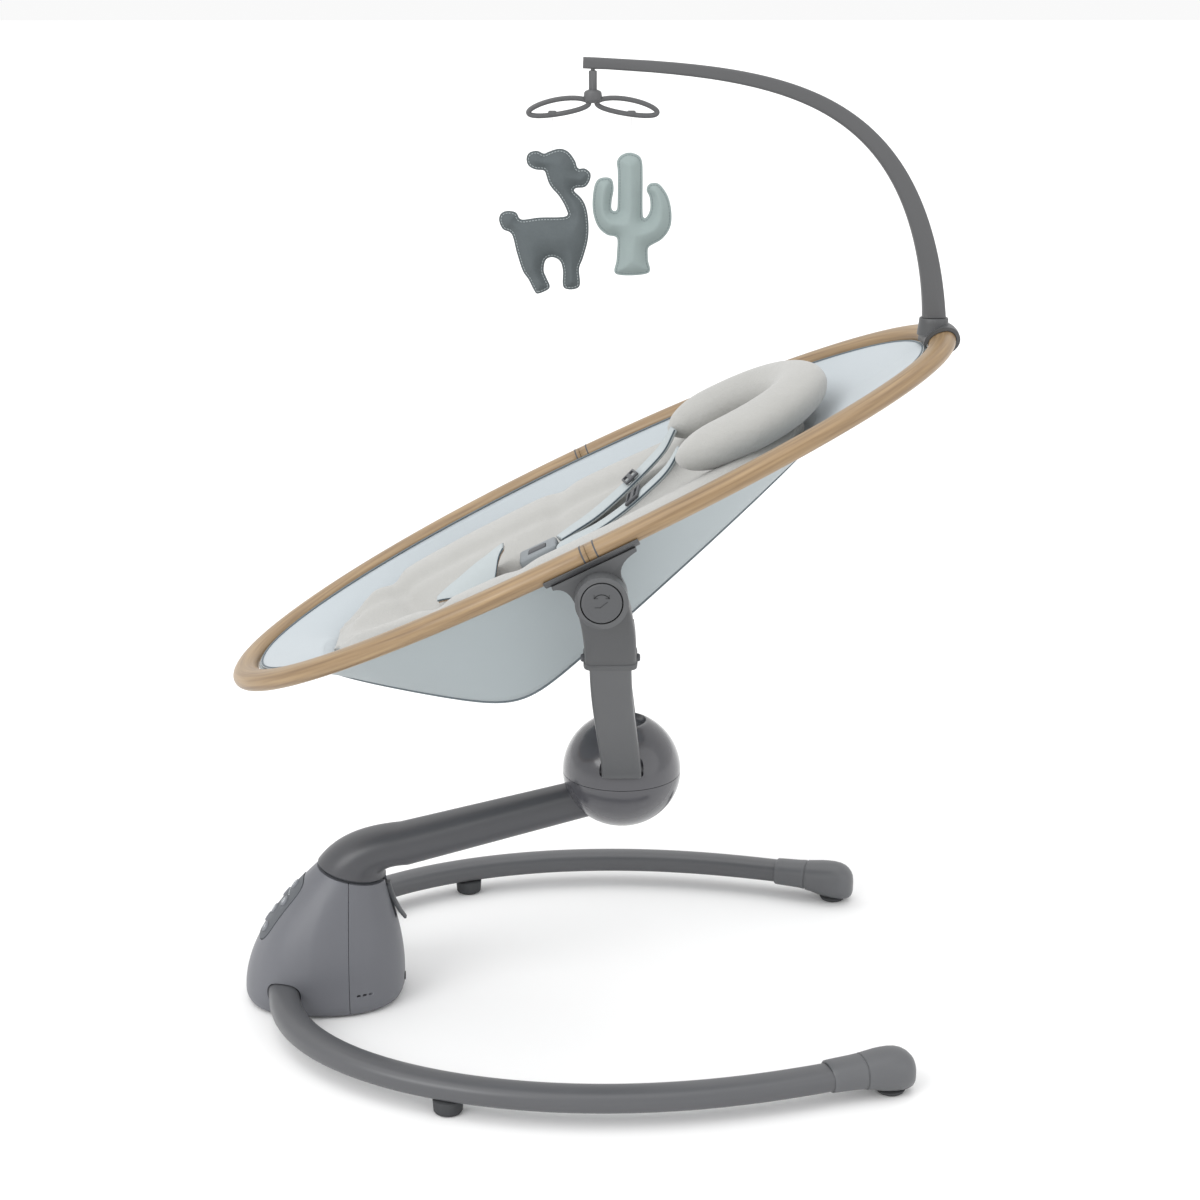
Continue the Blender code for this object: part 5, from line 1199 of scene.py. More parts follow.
def bowl_cloth(name, rise, inset, around=256, rows=20):
    """The bowl as one open sheet; inset moves it inwards, rise lifts its top edge."""
    bm = bmesh.new()
    rings = []
    for row in range(rows + 1):
        share = row / rows
        ring = []
        for i in range(around):
            angle = 2 * math.pi * i / around
            edge = rail_point(angle, rail_half_width + 0.0012 + inset, 0.0015 - rise)
            low = panel_point(angle, 1 if math.sin(angle) >= 0 else -1)
            low *= 1 - inset / 0.10
            low.z += inset
            point = mix(edge, low, share)
            pull = 0.0035 * math.sin(math.pi * share) * abs(math.sin(angle)) ** 0.5
            point.z += pull
            ring.append(bm.verts.new(point))
        rings.append(ring)
    for upper, lower in zip(rings, rings[1:]):
        for i in range(around):
            j = (i + 1) % around
            bm.faces.new((upper[j], upper[i], lower[i], lower[j]))
    half = around // 2
    last = rings[-1]
    columns = 9
    grid = {}
    for i in range(1, half):
        angle = 2 * math.pi * i / around
        grid[i] = [last[i]]
        for k in range(1, columns):
            point = panel_point(angle, 1 - 2 * k / columns)
            point *= 1 - inset / 0.10
            point.z += inset
            grid[i].append(bm.verts.new(point))
        grid[i].append(last[around - i])
    for i in range(1, half - 1):
        for k in range(columns):
            bm.faces.new((grid[i][k], grid[i][k + 1], grid[i + 1][k + 1], grid[i + 1][k]))
    for tip, line in ((last[0], grid[1]), (last[half], grid[half - 1])):
        for k in range(columns):
            bm.faces.new((tip, line[k], line[k + 1]))
    bmesh.ops.recalc_face_normals(bm, faces=bm.faces)
    lowest = min(bm.faces, key=lambda face: face.calc_center_median().z)
    if lowest.normal.z > 0:
        bmesh.ops.reverse_faces(bm, faces=bm.faces)
    for face in bm.faces:
        face.smooth = True
    area = sum(face.calc_area() for face in bm.faces)
    mesh = bpy.data.meshes.new(name)
    bm.to_mesh(mesh)
    bm.free()
    obj = bpy.data.objects.new(name, mesh)
    bpy.context.scene.collection.objects.link(obj)
    return to_seat(obj), area


def thickened(obj, wall, offset=-1):
    step = obj.modifiers.new("cloth_wall", "SOLIDIFY")
    step.thickness = wall
    step.offset = offset
    step.use_even_offset = False
    return obj


outer_cloth, outer_area = bowl_cloth("outer_cloth", 0.0, 0.0)
thickened(outer_cloth, 0.0015)
settle(outer_cloth, "seat", outer_finish, "outer_fabric", "seat_shell")
lining, lining_area = bowl_cloth("white_lining", 0.0030, 0.0032)
thickened(lining, 0.0010)
settle(lining, "seat", lining_finish, "outer_fabric")


def tube(name, points, radius, count=12, ring=False, flat=1.0, up_way=(0, 0, 1)):
    """A round or flattened roll or wire along points, untwisted, with its ends closed."""
    sections = []
    total = len(points)
    side_way = None
    for i, point in enumerate(points):
        before = points[(i - 1) % total] if ring else points[max(i - 1, 0)]
        after = points[(i + 1) % total] if ring else points[min(i + 1, total - 1)]
        ahead = (after - before).normalized()
        if side_way is None:
            side_way = ahead.cross(Vector(up_way))
            if side_way.length < 0.05:
                side_way = ahead.cross(Vector((1, 0, 0)))
        side_way = (side_way - ahead * side_way.dot(ahead)).normalized()
        over = side_way.cross(ahead)
        width = radius[i] if isinstance(radius, list) else radius
        sections.append(oval(point, side_way * width, over * width * flat, 2.0, count))
    return loft(name, sections, ring)


panel_edge = []
for i in range(256):
    angle = 2 * math.pi * i / 256
    point = panel_point(angle, 1 if math.sin(angle) >= 0 else -1)
    panel_edge.append(point + Vector((0, 0, -0.0004)))
panel_piping = to_seat(tube("panel_piping", panel_edge, 0.0013, 8, True))
settle(panel_piping, "seat", piping_finish, "outer_fabric")
edge_line = [rail_point(2 * math.pi * i / 256, rail_half_width + 0.0062, -0.0022) for i in range(256)]
lining_piping = to_seat(tube("lining_piping", edge_line, 0.0010, 8, True))
settle(lining_piping, "seat", piping_finish, "outer_fabric")

# ---- padded insert ------------------------------------------------------------------------------
# A quilted liner of thick plush lies in the bowl: two long bolsters meet round the foot end, and the
# middle dips between them. It is filled with wadding and swells between its seams.


def plush_group():
    """Short pile: clumped tufts in tone and relief."""
    group = bpy.data.node_groups.new("short_pile", "ShaderNodeTree")
    for word, kind, default in (
        ("Colour", "NodeSocketColor", (0.5, 0.5, 0.5, 1)),
        ("Tufts", "NodeSocketFloat", 260.0),
        ("Mottle", "NodeSocketFloat", 0.14),
    ):
        group.interface.new_socket(word, in_out="INPUT", socket_type=kind).default_value = default
    for word, kind in (("Colour", "NodeSocketColor"), ("Height", "NodeSocketFloat")):
        group.interface.new_socket(word, in_out="OUTPUT", socket_type=kind)
    given = group.nodes.new("NodeGroupInput").outputs
    spot = put(group, "ShaderNodeTexCoord").outputs["Object"]
    tuft = put(
        group,
        "ShaderNodeTexNoise",
        {"Vector": spot, "Scale": given["Tufts"], "Detail": 5.0, "Roughness": 0.7},
    )
    clump = put(group, "ShaderNodeTexNoise", {"Vector": spot, "Scale": 45.0, "Detail": 4.0})
    both = put(group, "ShaderNodeMath", operation="MULTIPLY")
    group.links.new(tuft.outputs[0], both.inputs[0])
    group.links.new(clump.outputs[0], both.inputs[1])
    offset = put(group, "ShaderNodeMath", operation="SUBTRACT")
    group.links.new(both.outputs[0], offset.inputs[0])
    offset.inputs[1].default_value = 0.25
    tone = put(group, "ShaderNodeMath", operation="MULTIPLY_ADD")
    group.links.new(offset.outputs[0], tone.inputs[0])
    group.links.new(given["Mottle"], tone.inputs[1])
    tone.inputs[2].default_value = 1.0
    colour = put(group, "ShaderNodeHueSaturation", {"Color": given["Colour"], "Value": tone.outputs[0]})
    result = group.nodes.new("NodeGroupOutput").inputs
    group.links.new(colour.outputs[0], result["Colour"])
    group.links.new(tuft.outputs[0], result["Height"])
    return group


short_pile = plush_group()
plush_finish = skinned(
    "warm_white_plush", short_pile, (0.400, 0.398, 0.382), 0.6, 0.0012, roughness=1.0, Sheen_Weight=0.35
)
insert_foot = 0.322
insert_head = 0.255


def insert_width(along):
    middle = (insert_head - insert_foot) / 2
    share = min(1.0, abs(along - middle) / ((insert_head + insert_foot) / 2))
    return 0.176 * max(0.30, (1 - share**2.6) ** 0.5)


def insert_bottom(along, across):
    depth = bowl_depth(along) - 0.020
    middle = (panel_head - panel_foot) / 2
    share = min(1.0, abs(along - middle) / ((panel_head + panel_foot) / 2))
    panel_half = panel_half_width * (1 - share**2) ** 0.4 - 0.022
    rail_half = half_width * max(0.05, 1 - (abs(along) / half_length) ** 2.09) ** 0.483 - 0.044
    climb = max(0.0, (abs(across) - panel_half) / max(0.02, rail_half - panel_half))
    return -max(0.006, depth * (1 - climb))


def insert_top(along, across):
    wide = insert_width(along)
    crest = 0.74 * wide
    deep = min(0.034, 0.45 * max(0.0, bowl_depth(along) - 0.020))
    channel = 0.0065 * math.exp(-(((abs(across) - 0.50 * wide) / 0.0070) ** 2))
    fold = 0.0080 * math.exp(-(((along + 0.215 - 0.35 * across) / 0.011) ** 2))
    fold += 0.0045 * math.exp(-(((along + 0.060 + 0.20 * across) / 0.012) ** 2))
    if abs(across) < crest:
        return -0.006 - fold - channel - deep * math.cos(quarter * abs(across) / crest) ** 2
    return -0.006 - fold - channel - 0.010 * ((abs(across) - crest) / (wide - crest)) ** 2


def insert_section(along, shrink):
    wide = insert_width(along) * shrink
    top = []
    bottom = []
    for i in range(65):
        across = wide * math.sin(mix(-quarter, quarter, i / 64))
        high = insert_top(along, across)
        low = min(insert_bottom(along, across), high - 0.010)
        centre = (high + low) / 2
        top.append(Vector((across, along, mix(centre, high, shrink))))
        bottom.append(Vector((across * 0.985, along, mix(centre, low, shrink))))
    return top + bottom[::-1]


def puffed(obj, voxel, cap, pressure=4.0, stiffness=8.0):
    """Fills a soft piece: the cloth swells under pressure, and no point moves more than the cap."""
    remesh = obj.modifiers.new("even_mesh", "REMESH")
    remesh.mode = "VOXEL"
    remesh.voxel_size = voxel
    graph = bpy.context.evaluated_depsgraph_get()
    obj.data = bpy.data.meshes.new_from_object(obj.evaluated_get(graph))
    obj.modifiers.clear()
    start = [vertex.co.copy() for vertex in obj.data.vertices]
    cloth = obj.modifiers.new("filling", "CLOTH")
    cloth.settings.use_pressure = True
    cloth.settings.uniform_pressure_force = pressure
    cloth.settings.effector_weights.gravity = 0
    cloth.settings.tension_stiffness = stiffness
    cloth.settings.compression_stiffness = stiffness
    cloth.settings.bending_stiffness = 0.6
    cloth.point_cache.frame_start = 1
    cloth.point_cache.frame_end = 20
    for step in range(1, 21):
        bpy.context.scene.frame_set(step)
    graph = bpy.context.evaluated_depsgraph_get()
    swollen = obj.evaluated_get(graph).to_mesh()
    ends = [vertex.co.copy() for vertex in swollen.vertices]
    obj.evaluated_get(graph).to_mesh_clear()
    obj.modifiers.clear()
    bpy.context.scene.frame_set(1)
    for vertex, old, new in zip(obj.data.vertices, start, ends):
        step = new - old
        if step.length > cap:
            step *= cap / step.length
        vertex.co = old + step
    for face in obj.data.polygons:
        face.use_smooth = True
    even = obj.modifiers.new("smooth", "SMOOTH")
    even.factor = 0.5
    even.iterations = 4
    finer = obj.modifiers.new("finer", "SUBSURF")
    finer.levels = 1
    finer.render_levels = 1
    return obj


insert_sections = []
for i in range(97):
    share = i / 96
    edge = min(share, 1 - share)
    shrink = 1 - 0.40 * max(0.0, 1 - edge / 0.045) ** 2
    insert_sections.append(insert_section(mix(-insert_foot, insert_head, share), shrink))
insert_pad = to_seat(loft("plush_insert", insert_sections))
puffed(insert_pad, 0.006, 0.006)
settle(insert_pad, "seat", plush_finish, "plush", "seat_insert")

# ---- head hugger --------------------------------------------------------------------------------
# A horseshoe roll of the same plush rests on the insert's head end and holds the child's head.

hugger_side = ((0.070, 0.112), (0.118, 0.190), (0.088, 0.306))
hugger_line = hugger_side + tuple((-x, along) for x, along in hugger_side[::-1])
hugger_points = []
hugger_radii = []
for i in range(61):
    share = i / 60
    point = bezier([(x, along, 0.0185) for x, along in hugger_line], share)
    hugger_points.append(point)
    end = min(share, 1 - share)
    hugger_radii.append(0.0330 * math.sqrt(max(0.04, 1 - max(0.0, 1 - end / 0.12) ** 2)))
hugger = to_seat(tube("head_hugger_roll", hugger_points, hugger_radii, 28, flat=0.70))
puffed(hugger, 0.005, 0.004)
settle(hugger, "seat", plush_finish, "plush", "head_hugger")

# ---- harness ------------------------------------------------------------------------------------
# Two padded shoulder straps run from slots under the hugger down to a small buckle at the waist, and
# a leaf-shaped crotch pad comes up to it. Edges are bound in dark thread, and a slide adjusts each.

strap_finish = skinned(
    "pale_webbing", fine_knit, (0.430, 0.470, 0.482), 0.4, 0.0004, values={"Threads": 420.0}, roughness=0.9
)
tan_finish = skinned("tan_backing", fine_knit, (0.400, 0.300, 0.220), 0.3, 0.0003, roughness=0.9)
thread_finish = skinned("dark_thread", fine_knit, (0.060, 0.085, 0.105), 0.2, 0.0002, roughness=0.8)


def strap_section(before, here, after, half, thick, twist=0.0):
    ahead = (after - before).normalized()
    across = ahead.cross(Vector((0, 0, 1))).normalized()
    up = across.cross(ahead).normalized()
    turned_across = across * math.cos(twist) + up * math.sin(twist)
    turned_up = up * math.cos(twist) - across * math.sin(twist)
    return oval(here, turned_across * half, turned_up * thick, 3.2, 32), turned_across, turned_up


def spline_through(stations, share):
    """A smooth run through stations of four numbers each (Catmull-Rom)."""
    last = len(stations) - 1
    place = share * last
    i = min(int(place), last - 1)
    t = place - i
    p0, p1, p2, p3 = (Vector(stations[max(0, min(last, i + k))]) for k in (-1, 0, 1, 2))
    return 0.5 * (
        2 * p1 + (p2 - p0) * t + (2 * p0 - 5 * p1 + 4 * p2 - p3) * t**2 + (3 * p1 - p0 - 3 * p2 + p3) * t**3
    )


def padded_strap(name, stations, half, thick, steps=48, droop=0.0):
    sections = []
    edges = ([], [])
    for i in range(steps + 1):
        share = i / steps
        here = spline_through(stations, share)
        before = spline_through(stations, max(0.0, share - 0.01))
        after = spline_through(stations, min(1.0, share + 0.01))
        wide = half * here[3]
        section, across, up = strap_section(
            Vector(before[:3]), Vector(here[:3]), Vector(after[:3]), wide, thick
        )
        middle = Vector(here[:3])
        for point in section:
            point -= up * droop * here[3] * ((point - middle).dot(across) / half) ** 2
        sections.append(section)
        for line, sign in zip(edges, (1, -1)):
            edge = middle + across * sign * wide * 0.985 + up * thick * 0.2
            line.append(edge - up * droop * here[3] * (wide / half) ** 2)
    return to_seat(loft(name, sections)), edges


for word, side in sides.items():
    stations = (
        (side * 0.052, 0.118, 0.024, 0.60),
        (side * 0.050, 0.098, 0.010, 0.90),
        (side * 0.046, 0.070, -0.001, 1.0),
        (side * 0.040, 0.035, -0.012, 1.0),
        (side * 0.031, 0.000, -0.020, 1.0),
        (side * 0.021, -0.030, -0.023, 0.85),
        (side * 0.0165, -0.045, -0.0245, 0.70),
    )
    strap, edges = padded_strap(f"strap_{word}_pad", stations, 0.0160, 0.0034)
    settle(strap, "seat", strap_finish, "webbing", f"shoulder_strap_{word}")
    for i, line in enumerate(edges):
        binding = to_seat(tube(f"strap_{word}_binding_{i}", line, 0.0009, 8))
        settle(binding, "seat", thread_finish, "webbing")
    slide_at = Vector((side * 0.043, 0.052, -0.0035))
    slide = block("slide_frame", (0.034, 0.018, 0.0030), (0, 0, 0), 0.0012)
    bars = [block("slide_gap", (0.026, 0.0042, 0.01), (0, y, 0)) for y in (-0.0045, 0.0045)]
    carve(slide, bars)
    slide.name = f"strap_{word}_slide"
    tilt = Matrix.Rotation(math.radians(18), 4, "X") @ Matrix.Rotation(side * math.radians(-9), 4, "Z")
    slide.data.transform(Matrix.Translation(slide_at + Vector((0, 0, 0.0022))) @ tilt)
    to_seat(slide)
    eased(slide, 0.0003)
    settle(slide, "seat", dark_finish, "dark_plastic")

crotch_stations = (
    (0, -0.192, -0.0230, 0.25),
    (0, -0.180, -0.0190, 0.60),
    (0, -0.160, -0.0130, 0.95),
    (0, -0.138, -0.0070, 1.10),
    (0, -0.118, -0.0030, 0.85),
    (0, -0.102, -0.0005, 0.30),
)
crotch, edges = padded_strap("crotch_leaf", crotch_stations, 0.034, 0.0020, droop=0.020)
settle(crotch, "seat", strap_finish, "webbing", "crotch_pad")
lower_stations = [(x, along, height - 0.0026, share * 0.97) for x, along, height, share in crotch_stations]
backing, _ = padded_strap("crotch_backing", lower_stations, 0.034, 0.0007, droop=0.020)
settle(backing, "seat", tan_finish, "webbing")
for i, line in enumerate(edges):
    binding = to_seat(tube(f"crotch_binding_{i}", line, 0.0007, 8))
    settle(binding, "seat", thread_finish, "webbing")

buckle_look = skinned("buckle_moulding", moulded_skin, (0.20, 0.22, 0.235), values={"Roughness": 0.5})
buckle = eased(node_copy("harness_buckle", "harness_buckle_look"), 0.0008, 30, 3)
settle(buckle, "seat", buckle_look, "dark_plastic", "harness_buckle")
press = eased(node_copy("buckle_button", "buckle_button_look"), 0.0005, 30, 3)
settle(press, "buckle_press", dark_finish, "soft_rubber", "buckle_button")

# ---- toy clamp and toy bar ----------------------------------------------------------------------
# A ring clamp grips the rail's head end and carries an upright socket. The curved bar turns in it on
# a peg; its flat section thins towards a squared tip that holds the hanger's pin.

rail_tip = seat_frame @ rail_point(0.0)
toy_base = Vector((0, rail_tip.y - 0.0075, rail_tip.z + rail_half_height + 0.0125))
clamp_reach = 0.020 / half_width
clamp = to_seat(rail_body("clamp_sleeve", -clamp_reach, clamp_reach, 16, 0.0046))
socket = turned(
    "clamp_socket",
    (
        (0, -0.0004),
        (0.0146, -0.0004),
        (0.0152, -0.0012),
        (0.0156, -0.0060),
        (0.0165, -0.0120),
        (0.0172, -0.0180),
        (0, -0.0180),
    ),
    64,
)
socket.data.transform(Matrix.Translation(toy_base))
carve(clamp, [socket], "UNION")
rail_clear = to_seat(rail_body("rail_clear", -3 * clamp_reach, 3 * clamp_reach, 48, 0.0006))
peg_room = rod("peg_room", 0.0064, toy_base - Vector((0, 0, 0.0095)), toy_base + Vector((0, 0, 0.01)))
cloth_edge = half_length - rail_half_width - 0.0154
cloth_room = to_seat(block("cloth_room", (0.1, 0.03, 0.05), (0, cloth_edge, -0.021)))
carve(clamp, [rail_clear, peg_room, cloth_room])
eased(clamp, 0.0010, 34, 3)
settle(clamp, "seat", bracket_finish, "grey_plastic", "toy_clamp")

bar_finish = skinned("toy_bar_moulding", moulded_skin, (0.085, 0.086, 0.089), 0.08, values={"Roughness": 0.5})
bar_top = 1.0375
bar_tip_y = -0.0035
bar_sweep = ((0.0, 0.0), (0.015, 0.339), (0.122, 0.882), (0.385, 0.963), (1.0, 1.0))
bar_rise = bar_top - toy_base.z
bar_reach = bar_tip_y - toy_base.y
bar_points = [toy_base + Vector((0, bar_reach * reach, bar_rise * rise)) for reach, rise in bar_sweep]
sections = []
for i in range(73):
    share = i / 72
    ahead = bezier(bar_points, min(1.0, share + 0.005)) - bezier(bar_points, max(0.0, share - 0.005))
    if i == 0:
        ahead = Vector((0, 0, 1))
    ahead.normalize()
    across = Vector((0, ahead.z, -ahead.y))
    half = mix(0.0125, 0.0055, share**0.8) * (1.05 if share > 0.985 else 1.0)
    sections.append(oval(bezier(bar_points, share), across * half, (half * 0.72, 0, 0), 3.4, 40))
toy_bar = loft("toy_bar_arch", sections)
peg_low, peg_high = (toy_base + Vector((0, 0, height)) for height in (-0.0085, 0.004))
carve(toy_bar, [rod("toy_peg", 0.006, peg_low, peg_high)], "UNION")
pin_y = bar_tip_y + 0.010
pin_top = Vector((0, pin_y, bar_top + 0.0022))
carve(toy_bar, [rod("pin_hole", 0.0024, pin_top - Vector((0, 0, 0.0142)), pin_top)])
eased(toy_bar, 0.0006, 40)
settle(toy_bar, "toy_bar_body", bar_finish, "grey_plastic", "toy_bar")

# ---- toy hanger ---------------------------------------------------------------------------------
# A pin turns in the bar's tip; under it a small hub spreads into two open leaf-shaped loops, each
# with a little eye for a toy's string.

hanger_centre = Vector((0, pin_y, bar_top - 0.035))
hanger = turned(
    "hanger_loops",
    (
        (0, 0.0365),
        (0.0021, 0.0365),
        (0.0021, 0.0275),
        (0.0038, 0.0270),
        (0.0042, 0.0262),
        (0.0042, 0.0084),
        (0.0078, 0.0070),
        (0.0090, 0.0052),
        (0.0096, 0.0000),
        (0.0084, -0.0030),
        (0.0055, -0.0050),
        (0, -0.0052),
    ),
    48,
)
loops = []
for sign in (-1, 1):
    line = []
    for i in range(64):
        angle = 2 * math.pi * i / 64
        along = 0.066 * (0.53 - 0.47 * math.cos(angle))
        height = -0.0095 * (along / 0.066) ** 1.6 - 0.0050
        height += (0.0072 if math.sin(angle) > 0 else 0.0075) * math.sin(angle)
        line.append(Vector((0, sign * along, height)))
    loops.append(tube("hanger_loop", line, 0.0026, 16, True))
hook_z = bar_top - 0.035 - 0.0188
string_ys = {"llama": -0.035, "cactus": 0.046}
for name, spot_y in string_ys.items():
    eye_centre = Vector((0, spot_y - pin_y, hook_z + 0.0036 - hanger_centre.z))
    loops.append(block("string_eye", (0.0062, 0.0090, 0.0052), eye_centre, 0.0018))
carve(hanger, loops, "UNION")
hanger.data.transform(Matrix.Translation(hanger_centre))
eased(hanger, 0.0003, 40)
settle(hanger, "hanger_body", bar_finish, "grey_plastic", "toy_hanger")

# ---- toys ---------------------------------------------------------------------------------------
# Each toy is two felt shapes sewn together just inside their edge and stuffed: a charcoal llama with
# pale stitches and a pale green-grey cactus with dark ones. A white string holds each by its top.

felt_finish = skinned(
    "charcoal_felt",
    short_pile,
    (0.100, 0.116, 0.122),
    0.5,
    0.0008,
    values={"Tufts": 700.0, "Mottle": 0.5},
    roughness=1.0,
)
pale_finish = skinned(
    "pale_green_cloth",
    short_pile,
    (0.280, 0.335, 0.330),
    0.4,
    0.0006,
    values={"Tufts": 800.0, "Mottle": 0.2},
    roughness=1.0,
)
string_finish = skinned("white_string", fine_knit, (0.75, 0.75, 0.75), 0.3, 0.0002, roughness=0.8)
pale_stitch = skinned("pale_stitch", fine_knit, (0.42, 0.46, 0.47), 0.2, 0.0002, roughness=0.8)
dark_stitch = skinned("dark_stitch", fine_knit, (0.16, 0.19, 0.20), 0.2, 0.0002, roughness=0.8)

llama_outline = (
    (-4, -35), (7, -32), (16, -35), (23, -44), (26, -52), (33, -52), (39, -57), (38, -65), (33, -71),
    (24, -72), (22, -75), (30, -83), (35, -94), (37, -110), (36, -126), (31, -144), (27, -155),
    (27, -174), (11, -175), (10, -157), (7, -147), (-1, -143), (-8, -146), (-10, -157), (-7, -165),
    (-4, -175), (-16, -181), (-20, -178), (-26, -166), (-32, -157), (-38, -138), (-43, -119),
    (-52, -114), (-56, -105), (-54, -98), (-47, -95), (-38, -97), (-33, -104), (-14, -102), (13, -101),
    (14, -94), (7, -81), (-3, -69), (-7, -58), (-9, -54), (-18, -53), (-25, -49), (-27, -42),
    (-24, -36), (-16, -34), (-9, -37),
)
cactus_outline = (
    (-2, -36), (6, -38), (11, -44), (12, -60), (12, -89), (13, -103), (18, -99), (20, -91), (19, -81),
    (16, -75), (17, -70), (21, -67), (29, -68), (38, -80), (42, -96), (41, -112), (33, -124),
    (23, -130), (18, -134), (18, -146), (18, -160), (-15, -161), (-15, -146), (-14, -127),
    (-16, -122), (-25, -120), (-34, -112), (-39, -99), (-40, -85), (-38, -70), (-34, -63), (-27, -61),
    (-20, -63), (-18, -73), (-20, -85), (-20, -94), (-15, -95), (-14, -85), (-14, -55), (-15, -46),
    (-12, -40), (-7, -37),
)


def smooth_outline(outline, steps=6):
    """The outline in metres with a smooth curve between its points (Catmull-Rom)."""
    points = [Vector((0, along / 1000, height / 1000)) for along, height in outline]
    count = len(points)
    run = []
    for i in range(count):
        p0, p1, p2, p3 = (points[(i + k) % count] for k in (-1, 0, 1, 2))
        for k in range(steps):
            t = k / steps
            run.append(
                0.5
                * (
                    2 * p1
                    + (p2 - p0) * t
                    + (2 * p0 - 5 * p1 + 4 * p2 - p3) * t**2
                    + (3 * p1 - p0 - 3 * p2 + p3) * t**3
                )
            )
    return run


def stitch_row_tree():
    """Stitches along a line: each a short rounded bar of thread, laid along it."""
    tree = bpy.data.node_groups.new("stitch_row", "GeometryNodeTree")
    tree.interface.new_socket("Geometry", in_out="INPUT", socket_type="NodeSocketGeometry")
    for word, default in (("Spacing", 0.0032), ("Length", 0.0021), ("Thickness", 0.00035)):
        tree.interface.new_socket(word, in_out="INPUT", socket_type="NodeSocketFloat").default_value = default
    tree.interface.new_socket("Thread", in_out="INPUT", socket_type="NodeSocketMaterial")
    tree.interface.new_socket("Geometry", in_out="OUTPUT", socket_type="NodeSocketGeometry")
    given = tree.nodes.new("NodeGroupInput").outputs
    line = put(tree, "GeometryNodeMeshToCurve", {"Mesh": given["Geometry"]})
    even = put(
        tree,
        "GeometryNodeResampleCurve",
        {"Curve": line.outputs[0], "Length": given["Spacing"]},
        mode="LENGTH",
    )
    way = put(tree, "GeometryNodeInputTangent")
    turn = put(tree, "FunctionNodeAlignEulerToVector", {"Vector": way.outputs[0]}, axis="Z")
    bar = put(
        tree,
        "GeometryNodeMeshCylinder",
        {"Vertices": 6, "Radius": given["Thickness"], "Depth": given["Length"]},
    )
    rows = put(
        tree,
        "GeometryNodeInstanceOnPoints",
        {"Points": even.outputs[0], "Instance": bar.outputs[0], "Rotation": turn.outputs[0]},
    )
    real = put(tree, "GeometryNodeRealizeInstances", {"Geometry": rows.outputs[0]})
    coat = put(tree, "GeometryNodeSetMaterial", {"Geometry": real.outputs[0], "Material": given["Thread"]})
    result = tree.nodes.new("NodeGroupOutput").inputs
    tree.links.new(coat.outputs[0], result["Geometry"])
    return tree


stitch_row = stitch_row_tree()


def stitched(name, points, thread, ring=True, spacing=0.0032, length=0.0021, thickness=0.00035):
    """A row of stitches along points, as a plain mesh."""
    mesh = bpy.data.meshes.new(name)
    edges = [(i, i + 1) for i in range(len(points) - 1)]
    if ring:
        edges.append((len(points) - 1, 0))
    mesh.from_pydata([tuple(point) for point in points], edges, [])
    obj = bpy.data.objects.new(name, mesh)
    bpy.context.scene.collection.objects.link(obj)
    step = obj.modifiers.new("stitches", "NODES")
    step.node_group = stitch_row
    values = {"Spacing": spacing, "Length": length, "Thickness": thickness, "Thread": thread}
    for item in stitch_row.interface.items_tree:
        if item.in_out == "INPUT" and item.name in values:
            step[item.identifier] = values[item.name]
    graph = bpy.context.evaluated_depsgraph_get()
    obj.data = bpy.data.meshes.new_from_object(obj.evaluated_get(graph))
    obj.modifiers.clear()
    return obj


def edge_distance(point, run):
    """How far a point lies inside an outline, measured in its plane."""
    best = 1.0
    for start, end in zip(run, run[1:] + run[:1]):
        along = end - start
        share = max(0.0, min(1.0, (point - start).dot(along) / max(along.length_squared, 1e-12)))
        best = min(best, (point - start - along * share).length)
    return best


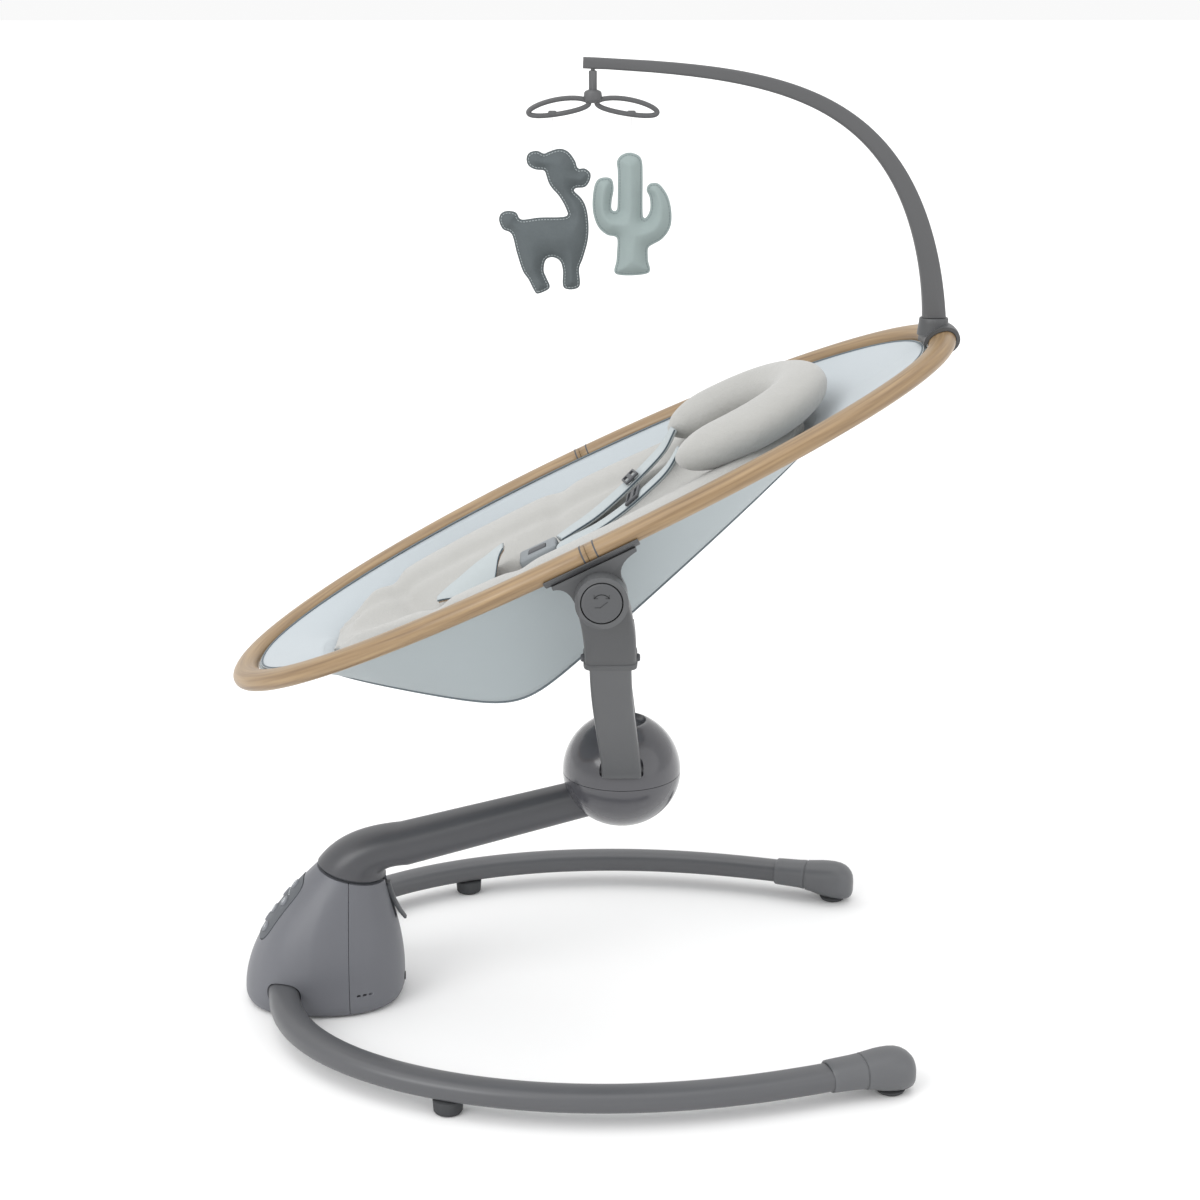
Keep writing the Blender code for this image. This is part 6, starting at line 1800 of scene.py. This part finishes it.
toy_flange = 0.0011
toy_half = 0.0128
for name, outline, cloth, thread, slot_name in (
    ("llama", llama_outline, felt_finish, pale_stitch, "charcoal_felt"),
    ("cactus", cactus_outline, pale_finish, dark_stitch, "pale_cloth"),
):
    run = smooth_outline(outline)
    front = [point + Vector((0.004, 0, 0)) for point in run]
    rear = [point - Vector((0.004, 0, 0)) for point in run]
    body = loft(f"{name}_stuffed", [front, rear], smooth=False)
    bm = bmesh.new()
    bm.from_mesh(body.data)
    bmesh.ops.triangulate(bm, faces=bm.faces)
    bm.to_mesh(body.data)
    bm.free()
    even = body.modifiers.new("even_mesh", "REMESH")
    even.mode = "VOXEL"
    even.voxel_size = 0.0013
    graph = bpy.context.evaluated_depsgraph_get()
    body.data = bpy.data.meshes.new_from_object(body.evaluated_get(graph))
    body.modifiers.clear()
    for vertex in body.data.vertices:
        flat = Vector((0, vertex.co.y, vertex.co.z))
        inside = max(0.0, edge_distance(flat, run) - 0.0026)
        swell = toy_flange + (toy_half - toy_flange) * (1 - math.exp(-inside / 0.0075))
        vertex.co.x *= swell / 0.004
    for face in body.data.polygons:
        face.use_smooth = True
    even = body.modifiers.new("smooth", "SMOOTH")
    even.factor = 0.5
    even.iterations = 3
    hook = Vector((0, string_ys[name], hook_z))
    body.data.transform(Matrix.Translation(hook))
    settle(body, name, cloth, slot_name, f"{name}_toy")
    for word, side in sides.items():
        row = []
        count = len(run)
        for i, point in enumerate(run):
            way = (run[(i + 1) % count] - run[i - 1]).normalized()
            inward = Vector((0, way.z, -way.y))
            row.append(point + inward * 0.0023 + Vector((side * (toy_flange + 0.0004), 0, 0)) + hook)
        seam = stitched(f"{name}_stitches_{word}", row, thread)
        settle(seam, name, thread, slot_name)

    # the string comes down from its eye into the toy's top seam
    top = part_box(f"{name}_string")
    start = Vector((0, hook.y, top[1][2]))
    length = top[1][2] - top[0][2]
    curve = bpy.data.curves.new(f"{name}_thread", "CURVE")
    curve.dimensions = "3D"
    curve.bevel_depth = 0.0007
    curve.bevel_resolution = 3
    curve.use_fill_caps = True
    spline = curve.splines.new("POLY")
    spline.points.add(15)
    for i, point in enumerate(spline.points):
        drop = length * i / 15
        point.co = (start.x, start.y, start.z - drop, 1)
    string = bpy.data.objects.new(f"{name}_thread", curve)
    bpy.context.scene.collection.objects.link(string)
    settle(string, name, string_finish, "white_thread", f"{name}_string")
